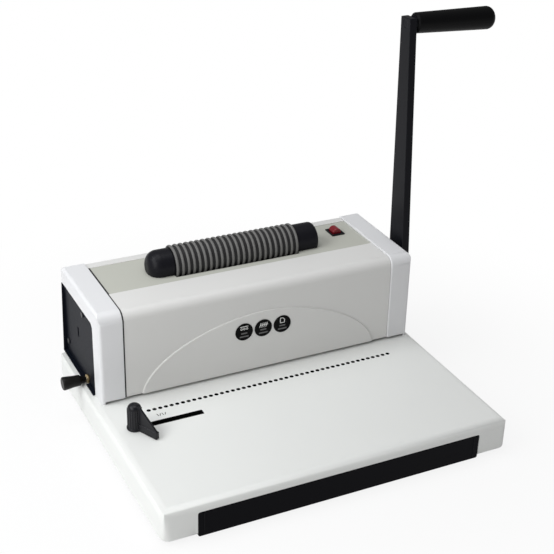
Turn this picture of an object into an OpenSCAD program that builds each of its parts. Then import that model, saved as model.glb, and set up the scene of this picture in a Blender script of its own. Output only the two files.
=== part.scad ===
// Coil binding machine: a desk punch with a side lever, an edge guide,
// a chip drawer under the deck and a motor roller that spins coils in.
// Millimetres, +Z up. The origin is on the table under the middle of the base.
// +X runs to the lever side and -Y runs to the user.

/* [Base] */
// Width of the base
base_w = 384; // [348:1:420]
// Depth of the base
base_d = 320; // [312:1:350]
// Height of the base shell above the table gap
base_h = 35; // [34:0.5:42]
// Wall of the base shell
base_wall = 3; // [2:0.5:4]
// Rounding of the edges of the base
base_edge_r = 9; // [6:0.5:12]
// Height of the rubber feet
foot_h = 4; // [3.5:0.5:8]
// Diameter of the rubber feet
foot_d = 26; // [16:1:30]
// Distance of a foot's centre from the sides of the base
foot_inset = 34; // [28:1:50]
// Thickness of the bottom pan
pan_t = 1.5; // [1:0.5:2.5]
// Radius of the screw bosses inside the base
boss_r = 5; // [4:0.5:6]

/* [Drawer] */
// Distance of the drawer front's ends from the sides of the base
drawer_side = 35.5; // [27:0.5:47]
// Height of the notch for the drawer front
drawer_h = 25.4; // [20:0.2:26]
// Height of the drawer front's lower edge above the table
drawer_clear = 1; // [0.6:0.2:3]
// Thickness of the drawer front
drawer_front_t = 3; // [2:0.5:5]
// Wall of the chip tray
tray_wall = 2; // [1.5:0.5:3]
// Height of the chip tray
tray_h = 18; // [12:0.5:19]
// Width of each drawer runner
runner_w = 3; // [2:0.5:5]

/* [Tower] */
// Distance of the end caps from the sides of the base
tower_side = 8; // [6:0.5:10]
// Depth of the tower
tower_d = 126; // [124:1:134]
// Height of the tower above the deck
tower_h = 104; // [103:0.5:116]
// Distance of the tower's back from the back of the base
tower_inset = 1; // [0.5:0.5:4]
// Width of an end cap
cap_w = 25.8; // [24:0.2:28]
// Wall of an end cap
cap_t = 2; // [1.5:0.5:2.5]
// Width of an end cap's front rim on the side
cap_front_rim = 22; // [16:1:24]
// Height of an end cap's top rim on the side
cap_top_rim = 19; // [14:1:20]
// Rounding of the tower's front top edge
tower_edge_r = 12; // [6:0.5:14]
// Rounding of an end cap's outer edges
cap_edge_r = 4; // [2.5:0.5:6]
// Thickness of the front and rear covers
cover_t = 2.6; // [2:0.2:3.2]
// How far the end caps stand proud of the covers
cover_step = 1.4; // [0.4:0.2:2]
// Depth of the grey panel below the covers
panel_recess = 0.6; // [0.2:0.2:1]
// Width of the white band in front of the grey panel
front_band = 47.4; // [42:0.2:50]
// Width of the white strip behind the grey panel
rear_band = 13; // [11:0.5:18]
// Thickness of the lips under the seams
lip_t = 1.6; // [1:0.2:2]
// Width of the lips under the seams
lip_w = 6; // [4:0.5:8]
// Seam between a cover and an end cap
seam_gap = 0.3; // [0.1:0.1:0.5]
// Distance of the raised arch's ends from the seams
arch_side = 19.2; // [10:0.1:58]
// Height of the raised arch above the deck
arch_h = 72; // [60:1:80]
// How far the arch stands proud
arch_t = 1.6; // [0.5:0.1:2]
// Diameter of the round badges
badge_d = 20.5; // [10:0.5:22]
// Spacing of the round badges
badge_pitch = 22.7; // [22.5:0.1:30]
// Height of the badges above the deck
badge_z = 51.8; // [40:0.2:54]
// Thickness of a badge
badge_t = 0.6; // [0.4:0.1:1]

/* [Frame] */
// Thickness of the side plates
plate_t = 4; // [3:0.5:5]
// Width of the feet and flanges of the side plates
flange_w = 12; // [10:0.5:14]
// Thickness of the feet and flanges of the side plates
flange_t = 3; // [2:0.5:3]
// Width of the lips along the deck and the back, outside a side plate
plate_lip = 4.5; // [2.5:0.5:6]
// Width of the back's lip at its top
plate_lip_top = 2.5; // [2:0.5:6]
// Thickness of these lips
plate_lip_t = 1.5; // [1:0.1:2]
// Length of the oblong hole in a side plate
plate_slot = 12; // [8:0.5:16]
// Diameter of the tie bars
tie_d = 10; // [8:0.5:10]

/* [Punch] */
// Least distance of the end pins from the sides of the base
hole_side = 48; // [46:0.5:86]
// Spacing of the punch pins
hole_pitch = 6.35; // [6:0.05:6.4]
// Diameter of a punch pin
pin_d = 4; // [3:0.1:4.2]
// Distance of the punch line behind the tower's front
punch_depth = 42; // [41:0.5:46]
// Height of the paper throat
throat_h = 3; // [2.5:0.1:4]
// Thickness of the die plate
die_t = 6; // [5:0.5:7]
// Thickness of the pin guide plate
guide_plate_t = 10; // [8:0.5:11]
// Width of the pin guide plate
guide_plate_w = 16; // [14:0.5:17]
// Height of the punch beam
beam_h = 17; // [14:0.5:18]
// Thickness of the punch beam
beam_t = 18; // [16:0.5:20]
// Sliding clearance beside the beam
slide_gap = 0.25; // [0.15:0.05:0.4]
// Running clearance of pins and shafts on the radius
run_gap = 0.06; // [0.03:0.01:0.1]

/* [Lever] */
// Swing of the lever in degrees
lever_swing = 75; // [60:1:76]
// Teeth of a drive pinion
pinion_teeth = 14; // [14:2:14]
// Module of the rack and pinion
gear_module = 1.5; // [1.45:0.05:1.5]
// Pressure angle of the teeth
gear_angle = 25; // [25:1:26]
// Width of a pinion
pinion_w = 14; // [10:1:16]
// Distance of a pinion from the seam
pinion_side = 23.2; // [14:0.1:48]
// Diameter of the punch shaft
shaft_d = 12; // [10:0.5:13]
// Gap between the end cap and the lever
lever_gap = 5.1; // [4:0.1:8]
// Thickness of the lever arm
lever_t = 8.75; // [6:0.25:10]
// Width of the lever arm at the shaft
lever_w_low = 30.6; // [24:0.2:32]
// Width of the lever arm at the top
lever_w_top = 18.5; // [13:0.5:20]
// Length of the lever from the shaft to the grip
lever_len = 292.5; // [240:0.5:320]
// Length of the lever arm past the grip's axis
lever_tip = 7; // [4.5:0.5:10]
// Backward lean of the lever at rest in degrees
lever_lean = 3; // [0:0.5:6]
// Length of the grip
grip_len = 100.2; // [80:0.2:120]
// Diameter of the grip at the arm
grip_d_in = 22.3; // [20:0.1:25]
// Diameter of the grip at its end
grip_d_out = 25.4; // [25:0.1:30]
// Droop of the grip's outer end in degrees
grip_droop = 2; // [0:0.5:3]
// Diameter of the grip's stud
grip_stud_d = 8; // [6:0.5:8]

/* [Edge guide] */
// Distance of the guide slot in front of the tower
guide_slot_y = 52; // [48:1:60]
// Width of the guide slot
guide_slot_w = 6.7; // [5:0.1:7]
// Distance of the guide slot's left end from the side of the base
guide_slot_side = 19.4; // [16:0.2:27]
// Length of the guide slot
guide_slot_len = 79.9; // [60:0.1:92]
// Distance of the guide at rest from the slot's left stop
guide_rest = 2.5; // [0.5:0.05:4]
// Diameter of the guide's post
guide_post_d = 14.2; // [12:0.2:16]
// Height of the guide's post
guide_post_h = 28.5; // [26:0.5:36]
// Rounding of the post's top edge
guide_top_r = 5; // [3:0.5:5.5]
// Reach of the guide's fin from the post
guide_reach = 31.5; // [26:0.5:36]
// Thickness of the guide's foot bar
guide_fin_t = 4.5; // [3:0.5:6]
// Thickness of the web above the foot bar
guide_web_t = 2.4; // [1.6:0.2:2.8]
// Height of the guide's foot bar
guide_bar_h = 8; // [6:0.5:10]
// Turn of the fin at rest in degrees from straight to the user
guide_turn = 26; // [0:1:45]
// Lift of the guide above the deck
guide_lift = 0.3; // [0.2:0.1:0.5]

/* [Hole row] */
// Distance of the holes in the deck in front of the tower
row_y = 27.6; // [20:0.2:34]
// Diameter of a hole in the deck
row_hole_d = 4; // [3:0.1:4.4]

/* [Margin stop] */
// Distance of the stop rod behind the punch line
rod_back = 9; // [8.5:0.1:9]
// Height of the stop rod's axis above the deck
rod_z = 4.2; // [3.6:0.1:4.2]
// Diameter of the stop rod's journals
rod_d = 4; // [3:0.1:4.2]
// Diameter of the stop rod's eccentric part
rod_cam_d = 7.2; // [6.4:0.1:7.4]
// Offset of the stop rod's eccentric part
rod_cam = 0.8; // [0.3:0.1:0.9]
// Length of the knob
knob_len = 26; // [16:1:28]
// Diameter of the knob's flared tip
knob_d = 14.6; // [12:0.2:16]

/* [Roller] */
// Number of ribs on the roller's sleeve
rib_count = 23; // [15:1:24]
// Spacing of the ribs
rib_pitch = 6.5; // [6:0.05:6.6]
// Width of a rib
rib_w = 3.2; // [2.6:0.2:3.6]
// Diameter over the ribs
roller_d = 40; // [36:0.5:41]
// Diameter of the sleeve between the ribs
groove_d = 36.4; // [34:0.2:37]
// Diameter of the roller's core
core_d = 32; // [28:0.5:33]
// Middle of the roller from the middle of the machine
roller_x = -2.75; // [-6:0.25:2]
// Distance of the roller's axis behind the tower's front
roller_depth = 77.2; // [75:0.2:80]
// Height of the roller's axis above the grey panel
roller_rise = 7; // [6:0.2:8]
// Diameter of the roller's shaft
roller_shaft_d = 8; // [6:0.5:8]
// Length of a roller support
support_len = 27; // [26:0.5:30]
// Diameter of a roller support
support_d = 35; // [33:0.5:36]
// Rounding of the left roller support's end
support_left_r = 13; // [4:0.5:14]
// Rounding of the right roller support's end
support_right_r = 5; // [3:0.5:8]
// Diameter of the belt pulleys
pulley_d = 18; // [16:0.5:20]
// Width of the belt
belt_w = 6; // [4:0.5:7]
// Thickness of the belt
belt_t = 1.2; // [1:0.1:1.6]

/* [Motor] */
// Diameter of the motor
motor_d = 36; // [28:1:37]
// Length of the motor
motor_len = 60; // [40:1:70]
// Distance of the motor's axis behind the roller's axis
motor_back = 14; // [10:0.5:16]
// Height of the motor's axis above the deck
motor_z = 41; // [38:0.5:46]
// Thickness of the motor's bracket
bracket_t = 3; // [2:0.5:4]

/* [Switch and inlet] */
// Distance of the switch's middle from the seam
switch_side = 24.6; // [18:0.1:34]
// Distance of the switch's middle behind the roller's axis
switch_back = 12.6; // [8:0.2:16]
// Width of the switch's bezel
switch_w = 16; // [15.5:0.5:20]
// Depth of the switch's bezel
switch_l = 19; // [17:0.5:24]
// Height of the switch's bezel
bezel_t = 1.6; // [1:0.2:2.4]
// Radius of the rocker
rocker_r = 5.9; // [5:0.1:5.9]
// How far the rocker stands above the bezel
rocker_rise = 5.2; // [3:0.2:5.2]
// Tilt of the rocker from level
rocker_tilt = 8; // [5:1:12]
// Distance of the power inlet's middle from the seam
inlet_side = 48.2; // [30:0.2:90]
// Height of the power inlet above the deck
inlet_z = 40; // [30:1:60]

/* [Hidden] */
$fn = 48;

// Colours of the machine
white = [0.93, 0.94, 0.93];
cap_white = [0.95, 0.96, 0.97];
olive_grey = [0.74, 0.75, 0.71];
plate_blue = [0.16, 0.18, 0.23];
near_black = [0.07, 0.07, 0.08];
steel = [0.66, 0.67, 0.69];
dark_steel = [0.36, 0.37, 0.39];
bronze = [0.72, 0.55, 0.28];
rib_grey = [0.40, 0.41, 0.42];
switch_red = [0.55, 0.05, 0.08];

// Small clearances and overlaps
eps = 1;
drop_in = 0.3;
press = 0.02;
join = 0.5;

// Main planes of the base and the tower
bx = base_w / 2;
by = base_d / 2;
pan_top = foot_h + pan_t;
deck_z = foot_h + base_h;
tx = bx - tower_side;
tower_back = by - tower_inset;
tower_front = tower_back - tower_d;
tower_top = deck_z + tower_h;
seam_x = tx - cap_w;
cover_x = seam_x - seam_gap;
plate_x1 = tx - cap_t;
plate_x0 = plate_x1 - plate_t;
cap_inner_r = cap_edge_r - cap_t / 2;
plate_front = tower_front + cap_t + cap_inner_r + 0.2;
plate_top = tower_top - cap_t - cap_inner_r - 0.2;
rim_y = tower_front + cap_front_rim;
rim_z = tower_top - cap_top_rim;
inner_back = tower_back - cover_t;
cover_front = tower_front + cover_step;
cover_top = tower_top - cover_step;

// Grey panel and its lips
panel_y0 = tower_front + front_band;
panel_y1 = tower_back - rear_band;
panel_top = cover_top - panel_recess;
panel_z0 = cover_top - cover_t;
lip_overlap = lip_w + 2;
arch_half_w = seam_x - arch_side;

// Punch line, die, guide plate and beam, from the deck up
hole_y = tower_front + punch_depth;
hole_count = 2 * floor((bx - hole_side) / hole_pitch + 0.5);
row_half = (hole_count - 1) * hole_pitch / 2;
pin_r = pin_d / 2;
die_z0 = deck_z - die_t;
die_x = row_half + 27;
die_y0 = hole_y - 13;
die_y1 = hole_y + 13;
rebate_w = 6;
chip_wall = 6;
guide_z0 = deck_z + throat_h;
guide_z1 = guide_z0 + guide_plate_t;
guide_plate_y1 = hole_y + pin_r + 1.5;
guide_plate_y0 = guide_plate_y1 - guide_plate_w;
gear_r = gear_module * pinion_teeth / 2;
gear_add = gear_module;
gear_ded = 1.25 * gear_module;
stroke = gear_r * lever_swing * PI / 180;
beam_clear = 1.25;
beam_z0 = guide_z1 + stroke + beam_clear;
beam_z1 = beam_z0 + beam_h;
beam_y0 = hole_y - beam_t / 2;
beam_y1 = hole_y + beam_t / 2;
beam_x = plate_x0 - 8;
pin_seat = 9;
pin_tip = guide_z0 + 2.5;
guide_block_x = beam_x - 6;
guide_block_wall = 8;

// Punch shaft, pinions and racks
shaft_r = shaft_d / 2;
shaft_y = hole_y;
shaft_z = beam_z1 + 2 + gear_r + gear_add;
bush_r = shaft_r + 3;
bush_flange_r = shaft_r + 6;
bush_flange_t = 2;
pinion_x = seam_x - pinion_side;
rack_y = shaft_y - gear_r;
rack_w = pinion_w - 1;
rack_seat = 7;
rack_back = rack_y - 10.5;
tooth_pitch = PI * gear_module;
backlash = 0.16;
rack_top = shaft_z + stroke + 2 * tooth_pitch;

// Lever
lever_x0 = tx + lever_gap;
lever_x1 = lever_x0 + lever_t;
hub_r = lever_w_low / 2 + 2;
grip_gap = 2;
stud_r = grip_stud_d / 2;
stud_len = grip_len - 25;
stud_collar_r = grip_d_in / 2 - 3;
lever_bolt_r = 2.5;
lever_bolt_len = 15;
lever_bolt_hole = 20;
shaft_end = lever_x1;
shaft_left = -(plate_x0 - 0.5);
left_bush_len = 12;

// Tie bars and return springs
tie_r = tie_d / 2;
tie_top_y = hole_y + 17;
tie_top_z = shaft_z + 19;
tie_back_y = inner_back - 2 - tie_r;
tie_back_z = deck_z + 16;
spring_x = 60;
spring_r = 4.2;
spring_wire = 1.2;
spring_turns = 8;
spring_anchor_r = 3;
spring_anchor_h = 7;
lug_w = 12;
lug_t = 6;
lug_z1 = beam_z1 - 2;
spring_z0 = lug_z1 + spring_wire / 2 + 0.1;
spring_z1 = tie_top_z - tie_r - spring_wire / 2 - 0.1;

// Margin stop
rod_y = hole_y + rod_back;
rod_axis_z = deck_z + rod_z;
rod_r = rod_d / 2;
margin_bush_r = rod_r + 1.2;
margin_flange_r = rod_r + 2.8;
margin_flange_t = 2;
margin_room = margin_flange_r + 0.5;
rod_sweep = rod_cam_d / 2 + rod_cam + 0.3;
knob_x1 = -(plate_x1 + margin_flange_t + 1);
knob_x0 = knob_x1 - knob_len;

// Edge guide
guide_slot_left = bx - guide_slot_side;
guide_slot_right = guide_slot_left - guide_slot_len;
slot_y = tower_front - guide_slot_y;
slot_r = guide_slot_w / 2;
guide_stud_r = slot_r - 0.3;
guide_x = -guide_slot_left + slot_r + guide_rest;
slot_corner_r = 1;
guide_foot_r = guide_post_d / 2 + 1.3;
guide_foot_t = 2.2;
guide_z = deck_z + guide_lift;
guide_stud_top = guide_z + guide_post_h - 9;

// Roller, supports, belt and motor
roller_len = (rib_count - 1) * rib_pitch + rib_w;
roller_x0 = roller_x - roller_len / 2;
roller_x1 = roller_x + roller_len / 2;
roller_r = roller_d / 2;
roller_y = tower_front + roller_depth;
roller_z = panel_top + roller_rise;
roller_shaft_r = roller_shaft_d / 2;
support_gap = 0.5;
support_r = support_d / 2;
support_wall = 2.5;
support_hollow = support_r - support_wall - 1.5;
bearing_len = 5;
bearing_r = roller_shaft_r + 1.2;
roller_slot = roller_r + 0.7;
pulley_r = pulley_d / 2;
pulley_flange = 1.2;
pulley_flange_r = pulley_r + belt_t + 0.8;
pulley_w = belt_w + 2 * pulley_flange + 0.6;
belt_x = roller_x1 + support_gap + bearing_len + 4 + pulley_w / 2;
belt_gap = 0.3;
motor_r = motor_d / 2;
motor_y = roller_y + motor_back;
motor_axis_z = deck_z + motor_z;
motor_x1 = belt_x - pulley_w / 2 - 9;
motor_x0 = motor_x1 - bracket_t - motor_len;
motor_shaft_r = 3;
bracket_half = motor_r + 2;
bracket_foot = 30;

// Switch and inlet
switch_x = seam_x - switch_side;
switch_y = roller_y + switch_back;
switch_wall = 2;
switch_body_w = switch_w - 2;
switch_body_l = switch_l - 2;
switch_body_h = 20;
bezel_top = panel_top + bezel_t;
rocker_z = bezel_top + rocker_rise - rocker_r;
rocker_l = switch_body_l - 2 * switch_wall - 0.6;
rocker_room = rocker_r + 0.3;
rocker_half = rocker_r - 0.8;
rocker_foot = 3;
inlet_x = -(seam_x - inlet_side);
inlet_w = 30;
inlet_h = 23;
inlet_wall = 2;
inlet_depth = 18;
inlet_flange = 2.5;
inlet_flange_t = 0.8;
inlet_pin_back = 5;

// Drawer
drawer_x = bx - drawer_side;
tray_x = drawer_x - 6;
drawer_gap = 0.4;
drawer_corner_r = 2;
tray_inner = tray_x - tray_wall;
tray_z0 = pan_top + drop_in;
tray_y0 = -by + drawer_front_t;
tray_y1 = die_y1 + 12;
runner_h = 10;

// Screws
screw_r = 1.5;
head_r = 3.2;
head_h = 1.5;
boss_x = bx - base_wall - boss_r - 2;
boss_y = by - base_wall - boss_r - 4;
pan_screw_points = [for (x = [-boss_x, boss_x], y = [-boss_y, 0, boss_y]) [x, y]];
plate_feet_y = [plate_front + 3, hole_y + 25];
plate_feet_len = [15, 44];
foot_screw_x = plate_x0 - flange_w / 2;
foot_screw_y = [for (i = [0, 1]) plate_feet_y[i] + plate_feet_len[i] / 2];
rear_flange_z = tie_back_z + tie_r + 2;
cover_screw_z = [rear_flange_z + 6, rear_flange_z + 44];

echo(str("Least gap between turns of a return spring: ",
    (spring_z1 - spring_z0) / spring_turns - spring_wire, " mm"));

// Shapes that repeat

module block(x0, x1, y0, y1, z0, z1) {
    translate([x0, y0, z0]) cube([x1 - x0, y1 - y0, z1 - z0]);
}

module rod_along_x(x0, x1, y, z, r) {
    translate([x0, y, z]) rotate([0, 90, 0]) cylinder(h = x1 - x0, r = r);
}

module rod_along_y(x, y0, y1, z, r) {
    translate([x, y0, z]) rotate([-90, 0, 0]) cylinder(h = y1 - y0, r = r);
}

module rod_along_z(x, y, z0, z1, r) {
    translate([x, y, z0]) cylinder(h = z1 - z0, r = r);
}

// A flat outline in Y and Z, drawn out along X
module along_x(x0, x1) {
    translate([x0, 0, 0]) rotate([90, 0, 90]) linear_extrude(x1 - x0) children();
}

// A flat outline in X and Z, drawn out along Y
module along_y(y0, y1) {
    translate([0, y1, 0]) rotate([90, 0, 0]) linear_extrude(y1 - y0) children();
}

// A flat outline in X and Y, drawn out along Z
module along_z(z0, z1) {
    translate([0, 0, z0]) linear_extrude(z1 - z0) children();
}

module both_sides() {
    children();
    mirror([1, 0, 0]) children();
}

// A rectangle whose two upper corners are rounded, each with its own radius
module arched(a0, a1, b0, b1, r0, r1) {
    translate([a0, b0]) square([r0, b1 - r0 - b0]);
    translate([a0 + r0, b0]) square([a1 - r1 - a0 - r0, b1 - b0]);
    translate([a1 - r1, b0]) square([r1, b1 - r1 - b0]);
    translate([a0 + r0, b1 - r0]) circle(r0);
    translate([a1 - r1, b1 - r1]) circle(r1);
}

// A rectangle whose upper right corner is rounded
module one_round(a0, a1, b0, b1, r) {
    translate([a0, b0]) square([a1 - r - a0, b1 - b0]);
    translate([a1 - r, b0]) square([r, b1 - r - b0]);
    translate([a1 - r, b1 - r]) circle(r);
}

// A rectangle with four equal round corners
module soft_rect(a0, a1, b0, b1, r) {
    translate([a0 + r, b0]) square([a1 - a0 - 2 * r, b1 - b0]);
    translate([a0, b0 + r]) square([a1 - a0, b1 - b0 - 2 * r]);
    for (a = [a0 + r, a1 - r], b = [b0 + r, b1 - r]) translate([a, b]) circle(r);
}

// A slot with round ends along X
module slot_x(length, width) {
    half = (length - width) / 2;
    translate([-half, -width / 2]) square([2 * half, width]);
    for (s = [-half, half]) translate([s, 0]) circle(width / 2);
}

// A box that is open to any cut from below, with its upright and top edges rounded
module soft_box(x0, x1, y0, y1, z0, z1, r) {
    intersection() {
        along_x(x0, x1) arched(y0, y1, z0, z1, r, r);
        along_y(y0, y1) arched(x0, x1, z0, z1, r, r);
        along_z(z0, z1) soft_rect(x0, x1, y0, y1, r);
    }
}

// The tower's outline from the side, drawn in by a wall
module tower_outline(inset) {
    arched(tower_front + inset, tower_back - inset, deck_z - eps, tower_top - inset,
        tower_edge_r - inset, cap_edge_r);
}

// The covers' outline from the side, a step inside the end caps at the front and top
module cover_outline(inset) {
    arched(cover_front + inset, tower_back - inset, deck_z - eps, cover_top - inset,
        max(tower_edge_r - cover_step - inset, 0.5), cap_edge_r);
}

module hole_places() {
    for (i = [0 : hole_count - 1]) translate([-row_half + i * hole_pitch, 0, 0]) children();
}

// A round-headed screw that points up, its head under z = 0
module screw_up(shank) {
    translate([0, 0, -head_h]) cylinder(h = head_h, r = head_r);
    cylinder(h = shank, r = screw_r - press);
}

// Base

module base_deck() color(white) {
    difference() {
        union() {
            difference() {
                soft_box(-bx, bx, -by, by, foot_h, deck_z, base_edge_r);
                soft_box(-bx + base_wall, bx - base_wall, -by + base_wall, by - base_wall,
                    foot_h - eps, deck_z - base_wall, base_edge_r - base_wall);
            }
            block(-die_x - rebate_w, die_x + rebate_w, die_y0 - rebate_w, die_y1 + rebate_w,
                die_z0 - 2, deck_z - base_wall + join);
            for (p = pan_screw_points) {
                rod_along_z(p[0], p[1], pan_top, deck_z - base_wall + join, boss_r);
            }
        }
        // Seat of the die plate and the chip opening under it
        block(-die_x - drop_in, die_x + drop_in, die_y0 - drop_in, die_y1 + drop_in,
            die_z0, deck_z + eps);
        block(-die_x + chip_wall, die_x - chip_wall, die_y0 + chip_wall, die_y1 - chip_wall,
            die_z0 - 2 - eps, die_z0 + eps);
        // Row of holes in front of the throat
        translate([0, tower_front - row_y, deck_z - base_wall - eps]) hole_places()
            cylinder(h = base_wall + 2 * eps, r = row_hole_d / 2);
        // Slot of the edge guide
        along_z(deck_z - base_wall - eps, deck_z + eps)
            soft_rect(-guide_slot_left, -guide_slot_right, slot_y - slot_r, slot_y + slot_r, slot_corner_r);
        // Notch for the drawer front
        block(-drawer_x, drawer_x, -by - eps, -by + base_wall + eps,
            foot_h - eps, foot_h + drawer_h);
        // Screw holes
        for (p = pan_screw_points) rod_along_z(p[0], p[1], pan_top - eps, pan_top + 12, screw_r);
        for (x = [-foot_screw_x, foot_screw_x], y = foot_screw_y) {
            rod_along_z(x, y, deck_z - base_wall - eps, deck_z + eps, screw_r);
        }
        for (x = bracket_screw_x()) {
            rod_along_z(x, motor_y, deck_z - base_wall - eps, deck_z + eps, screw_r);
        }
    }
}

module base_pan() color(dark_steel) {
    edge = base_wall + drop_in;
    difference() {
        along_z(foot_h, pan_top)
            soft_rect(-bx + edge, bx - edge, -by + edge, by - edge, base_edge_r - base_wall);
        for (p = pan_screw_points) rod_along_z(p[0], p[1], foot_h - eps, pan_top + eps, screw_r + 0.3);
    }
}

module rubber_feet() color(near_black) {
    for (x = [-bx + foot_inset, bx - foot_inset], y = [-by + foot_inset, by - foot_inset]) {
        rod_along_z(x, y, 0, foot_h, foot_d / 2);
    }
}

module pan_screws() color(steel) {
    for (p = pan_screw_points) translate([p[0], p[1], foot_h]) screw_up(pan_t + 10);
}

module drawer_runners() color(steel) {
    both_sides() block(tray_x + drop_in, tray_x + drop_in + runner_w, -by + base_wall + 4, tray_y1,
        pan_top, pan_top + runner_h);
}

// Frame

module side_plate() {
    difference() {
        union() {
            difference() {
                block(plate_x1 - join, plate_x1 + plate_lip, rim_y + drop_in, tower_back,
                    deck_z, deck_z + plate_lip_t);
                block(plate_x1, plate_x1 + plate_lip + eps, rod_y - margin_room, rod_y + margin_room,
                    deck_z - eps, deck_z + plate_lip_t + eps);
            }
            along_y(tower_back - plate_lip_t, tower_back) polygon([[plate_x1 - join, deck_z],
                [plate_x1 + plate_lip, deck_z], [plate_x1 + plate_lip_top, rim_z - drop_in],
                [plate_x1 - join, rim_z - drop_in]]);
            along_x(plate_x0, plate_x1) polygon([[plate_front, deck_z], [tower_back, deck_z],
                [tower_back, rim_z], [tower_back - cap_t, rim_z],
                [tower_back - cap_t, plate_top], [plate_front, plate_top]]);
            for (i = [0, 1]) {
                block(plate_x0 - flange_w, plate_x0 + join, plate_feet_y[i],
                    plate_feet_y[i] + plate_feet_len[i], deck_z, deck_z + flange_t);
            }
            block(plate_x0 - flange_w, plate_x0 + join, inner_back - flange_t, inner_back,
                rear_flange_z, rear_flange_z + 50);
        }
        // Notch for the bush of the stop rod, open to the deck
        rod_along_x(plate_x0 - eps, plate_x1 + eps, rod_y, rod_axis_z, margin_bush_r);
        block(plate_x0 - eps, plate_x1 + eps, rod_y - margin_bush_r, rod_y + margin_bush_r,
            deck_z - eps, rod_axis_z);
        for (p = tie_points()) rod_along_x(plate_x0 - eps, plate_x1 + eps, p[0], p[1], screw_r);
        for (y = foot_screw_y) {
            rod_along_z(foot_screw_x, y, deck_z - eps, deck_z + flange_t + eps, screw_r);
        }
        for (z = cover_screw_z) {
            rod_along_y(foot_screw_x, inner_back - flange_t - eps, inner_back + eps, z, screw_r);
        }
        // Oblong hole behind the shaft
        translate([0, shaft_y + 37.3, deck_z + 46.5]) along_x(plate_x0 - eps, plate_x1 + eps)
            rotate(90) slot_x(plate_slot, 4);
    }
}

module left_side_plate() color(plate_blue) mirror([1, 0, 0]) side_plate();

module right_side_plate() color(plate_blue) difference() {
    side_plate();
    rod_along_x(plate_x0 - eps, plate_x1 + eps, shaft_y, shaft_z, bush_r);
}

module plate_screws() color(steel) {
    for (x = [-foot_screw_x, foot_screw_x], y = foot_screw_y) {
        translate([x, y, deck_z + flange_t]) rotate([180, 0, 0]) screw_up(flange_t + base_wall);
    }
    for (x = bracket_screw_x()) {
        translate([x, motor_y, deck_z + bracket_t]) rotate([180, 0, 0]) screw_up(bracket_t + base_wall);
    }
}

function tie_points() = [[tie_top_y, tie_top_z], [tie_back_y, tie_back_z]];

module tie_bars() color(steel) {
    difference() {
        union() {
            for (p = tie_points()) rod_along_x(-plate_x0, plate_x0, p[0], p[1], tie_r);
            // Plugs that hold the upper ends of the return springs
            for (x = [-spring_x, spring_x]) {
                rod_along_z(x, tie_top_y, tie_top_z - tie_r - spring_anchor_h, tie_top_z, spring_anchor_r);
            }
        }
        both_sides() for (p = tie_points()) rod_along_x(plate_x0 - 12, plate_x0 + eps, p[0], p[1], screw_r);
    }
}

module frame_screws() color(dark_steel) {
    both_sides() for (p = tie_points()) {
        translate([plate_x1, p[0], p[1]]) rotate([0, -90, 0]) screw_up(plate_t + 10);
    }
}

// Covers

// Where an end cap backs the covers: the front above the throat, the top and the rear rim
module seam_zone() {
    translate([tower_front, guide_z0]) square([panel_y1 - tower_front, tower_h]);
    translate([panel_y1 - join, rim_z + drop_in]) square([rear_band + join, cap_top_rim]);
}

module seam_lip(x0, x1) {
    along_x(x0, x1) intersection() {
        difference() {
            cover_outline(cover_t);
            cover_outline(cover_t + lip_t);
        }
        seam_zone();
    }
}

module front_cover() color(white) {
    along_x(-cover_x, cover_x) intersection() {
        difference() {
            cover_outline(0);
            cover_outline(cover_t);
        }
        translate([tower_front, guide_z0]) square([front_band, tower_h]);
    }
    // Lip that carries the grey panel
    block(-seam_x + lip_overlap, seam_x - lip_overlap, panel_y0 - lip_w, panel_y0 + lip_w,
        panel_z0 - lip_t, panel_z0);
    // Raised arch
    along_y(cover_front - arch_t, cover_front + join) arch_outline();
}

// The arch is a superellipse, a little flatter than an ellipse, cut off at the throat
function arch_point(t) = [arch_half_w * pow(abs(cos(t)), 2 / 1.8) * sign(cos(t)),
    arch_h * pow(abs(sin(t)), 2 / 1.8)];

module arch_outline() {
    steps = 96;
    intersection() {
        translate([0, deck_z]) polygon([for (i = [0 : steps]) arch_point(180 * i / steps)]);
        translate([-arch_half_w - eps, guide_z0]) square([2 * (arch_half_w + eps), arch_h]);
    }
}

module badge_discs() color(near_black) {
    for (i = [-1, 0, 1]) rod_along_y(i * badge_pitch, cover_front - arch_t - badge_t,
        cover_front - arch_t, deck_z + badge_z, badge_d / 2);
}

module top_panel() color(olive_grey) {
    difference() {
        block(-cover_x, cover_x, panel_y0, panel_y1, panel_z0, panel_top);
        block(roller_x0 - support_gap - 0.4, roller_x1 + support_gap + 0.4,
            roller_y - roller_slot, roller_y + roller_slot, panel_z0 - eps, panel_top + eps);
        block(belt_x - pulley_w / 2 - 0.6, belt_x + pulley_w / 2 + 0.6,
            roller_y - pulley_flange_r - 1, roller_y + pulley_flange_r + 3,
            panel_z0 - eps, panel_top + eps);
        block(switch_x - switch_body_w / 2 - drop_in, switch_x + switch_body_w / 2 + drop_in,
            switch_y - switch_body_l / 2 - drop_in, switch_y + switch_body_l / 2 + drop_in,
            panel_z0 - eps, panel_top + eps);
    }
}

module rear_cover() color(white) {
    difference() {
        union() {
            along_x(-cover_x, cover_x) intersection() {
                difference() {
                    cover_outline(0);
                    cover_outline(cover_t);
                }
                translate([panel_y1, deck_z]) square([rear_band + eps, tower_h + eps]);
            }
            // Wall between the side plates, below the rims of the end caps
            block(-plate_x0, plate_x0, inner_back, tower_back, deck_z, rim_z);
            block(-seam_x + lip_overlap, seam_x - lip_overlap, panel_y1 - lip_w, panel_y1 + lip_w,
                panel_z0 - lip_t, panel_z0);
        }
        block(inlet_x - inlet_w / 2 - drop_in, inlet_x + inlet_w / 2 + drop_in,
            inner_back - eps, tower_back + eps,
            deck_z + inlet_z - inlet_h / 2 - drop_in, deck_z + inlet_z + inlet_h / 2 + drop_in);
        for (x = [-foot_screw_x, foot_screw_x], z = cover_screw_z) {
            rod_along_y(x, inner_back - eps, tower_back + eps, z, screw_r);
        }
    }
}

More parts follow.
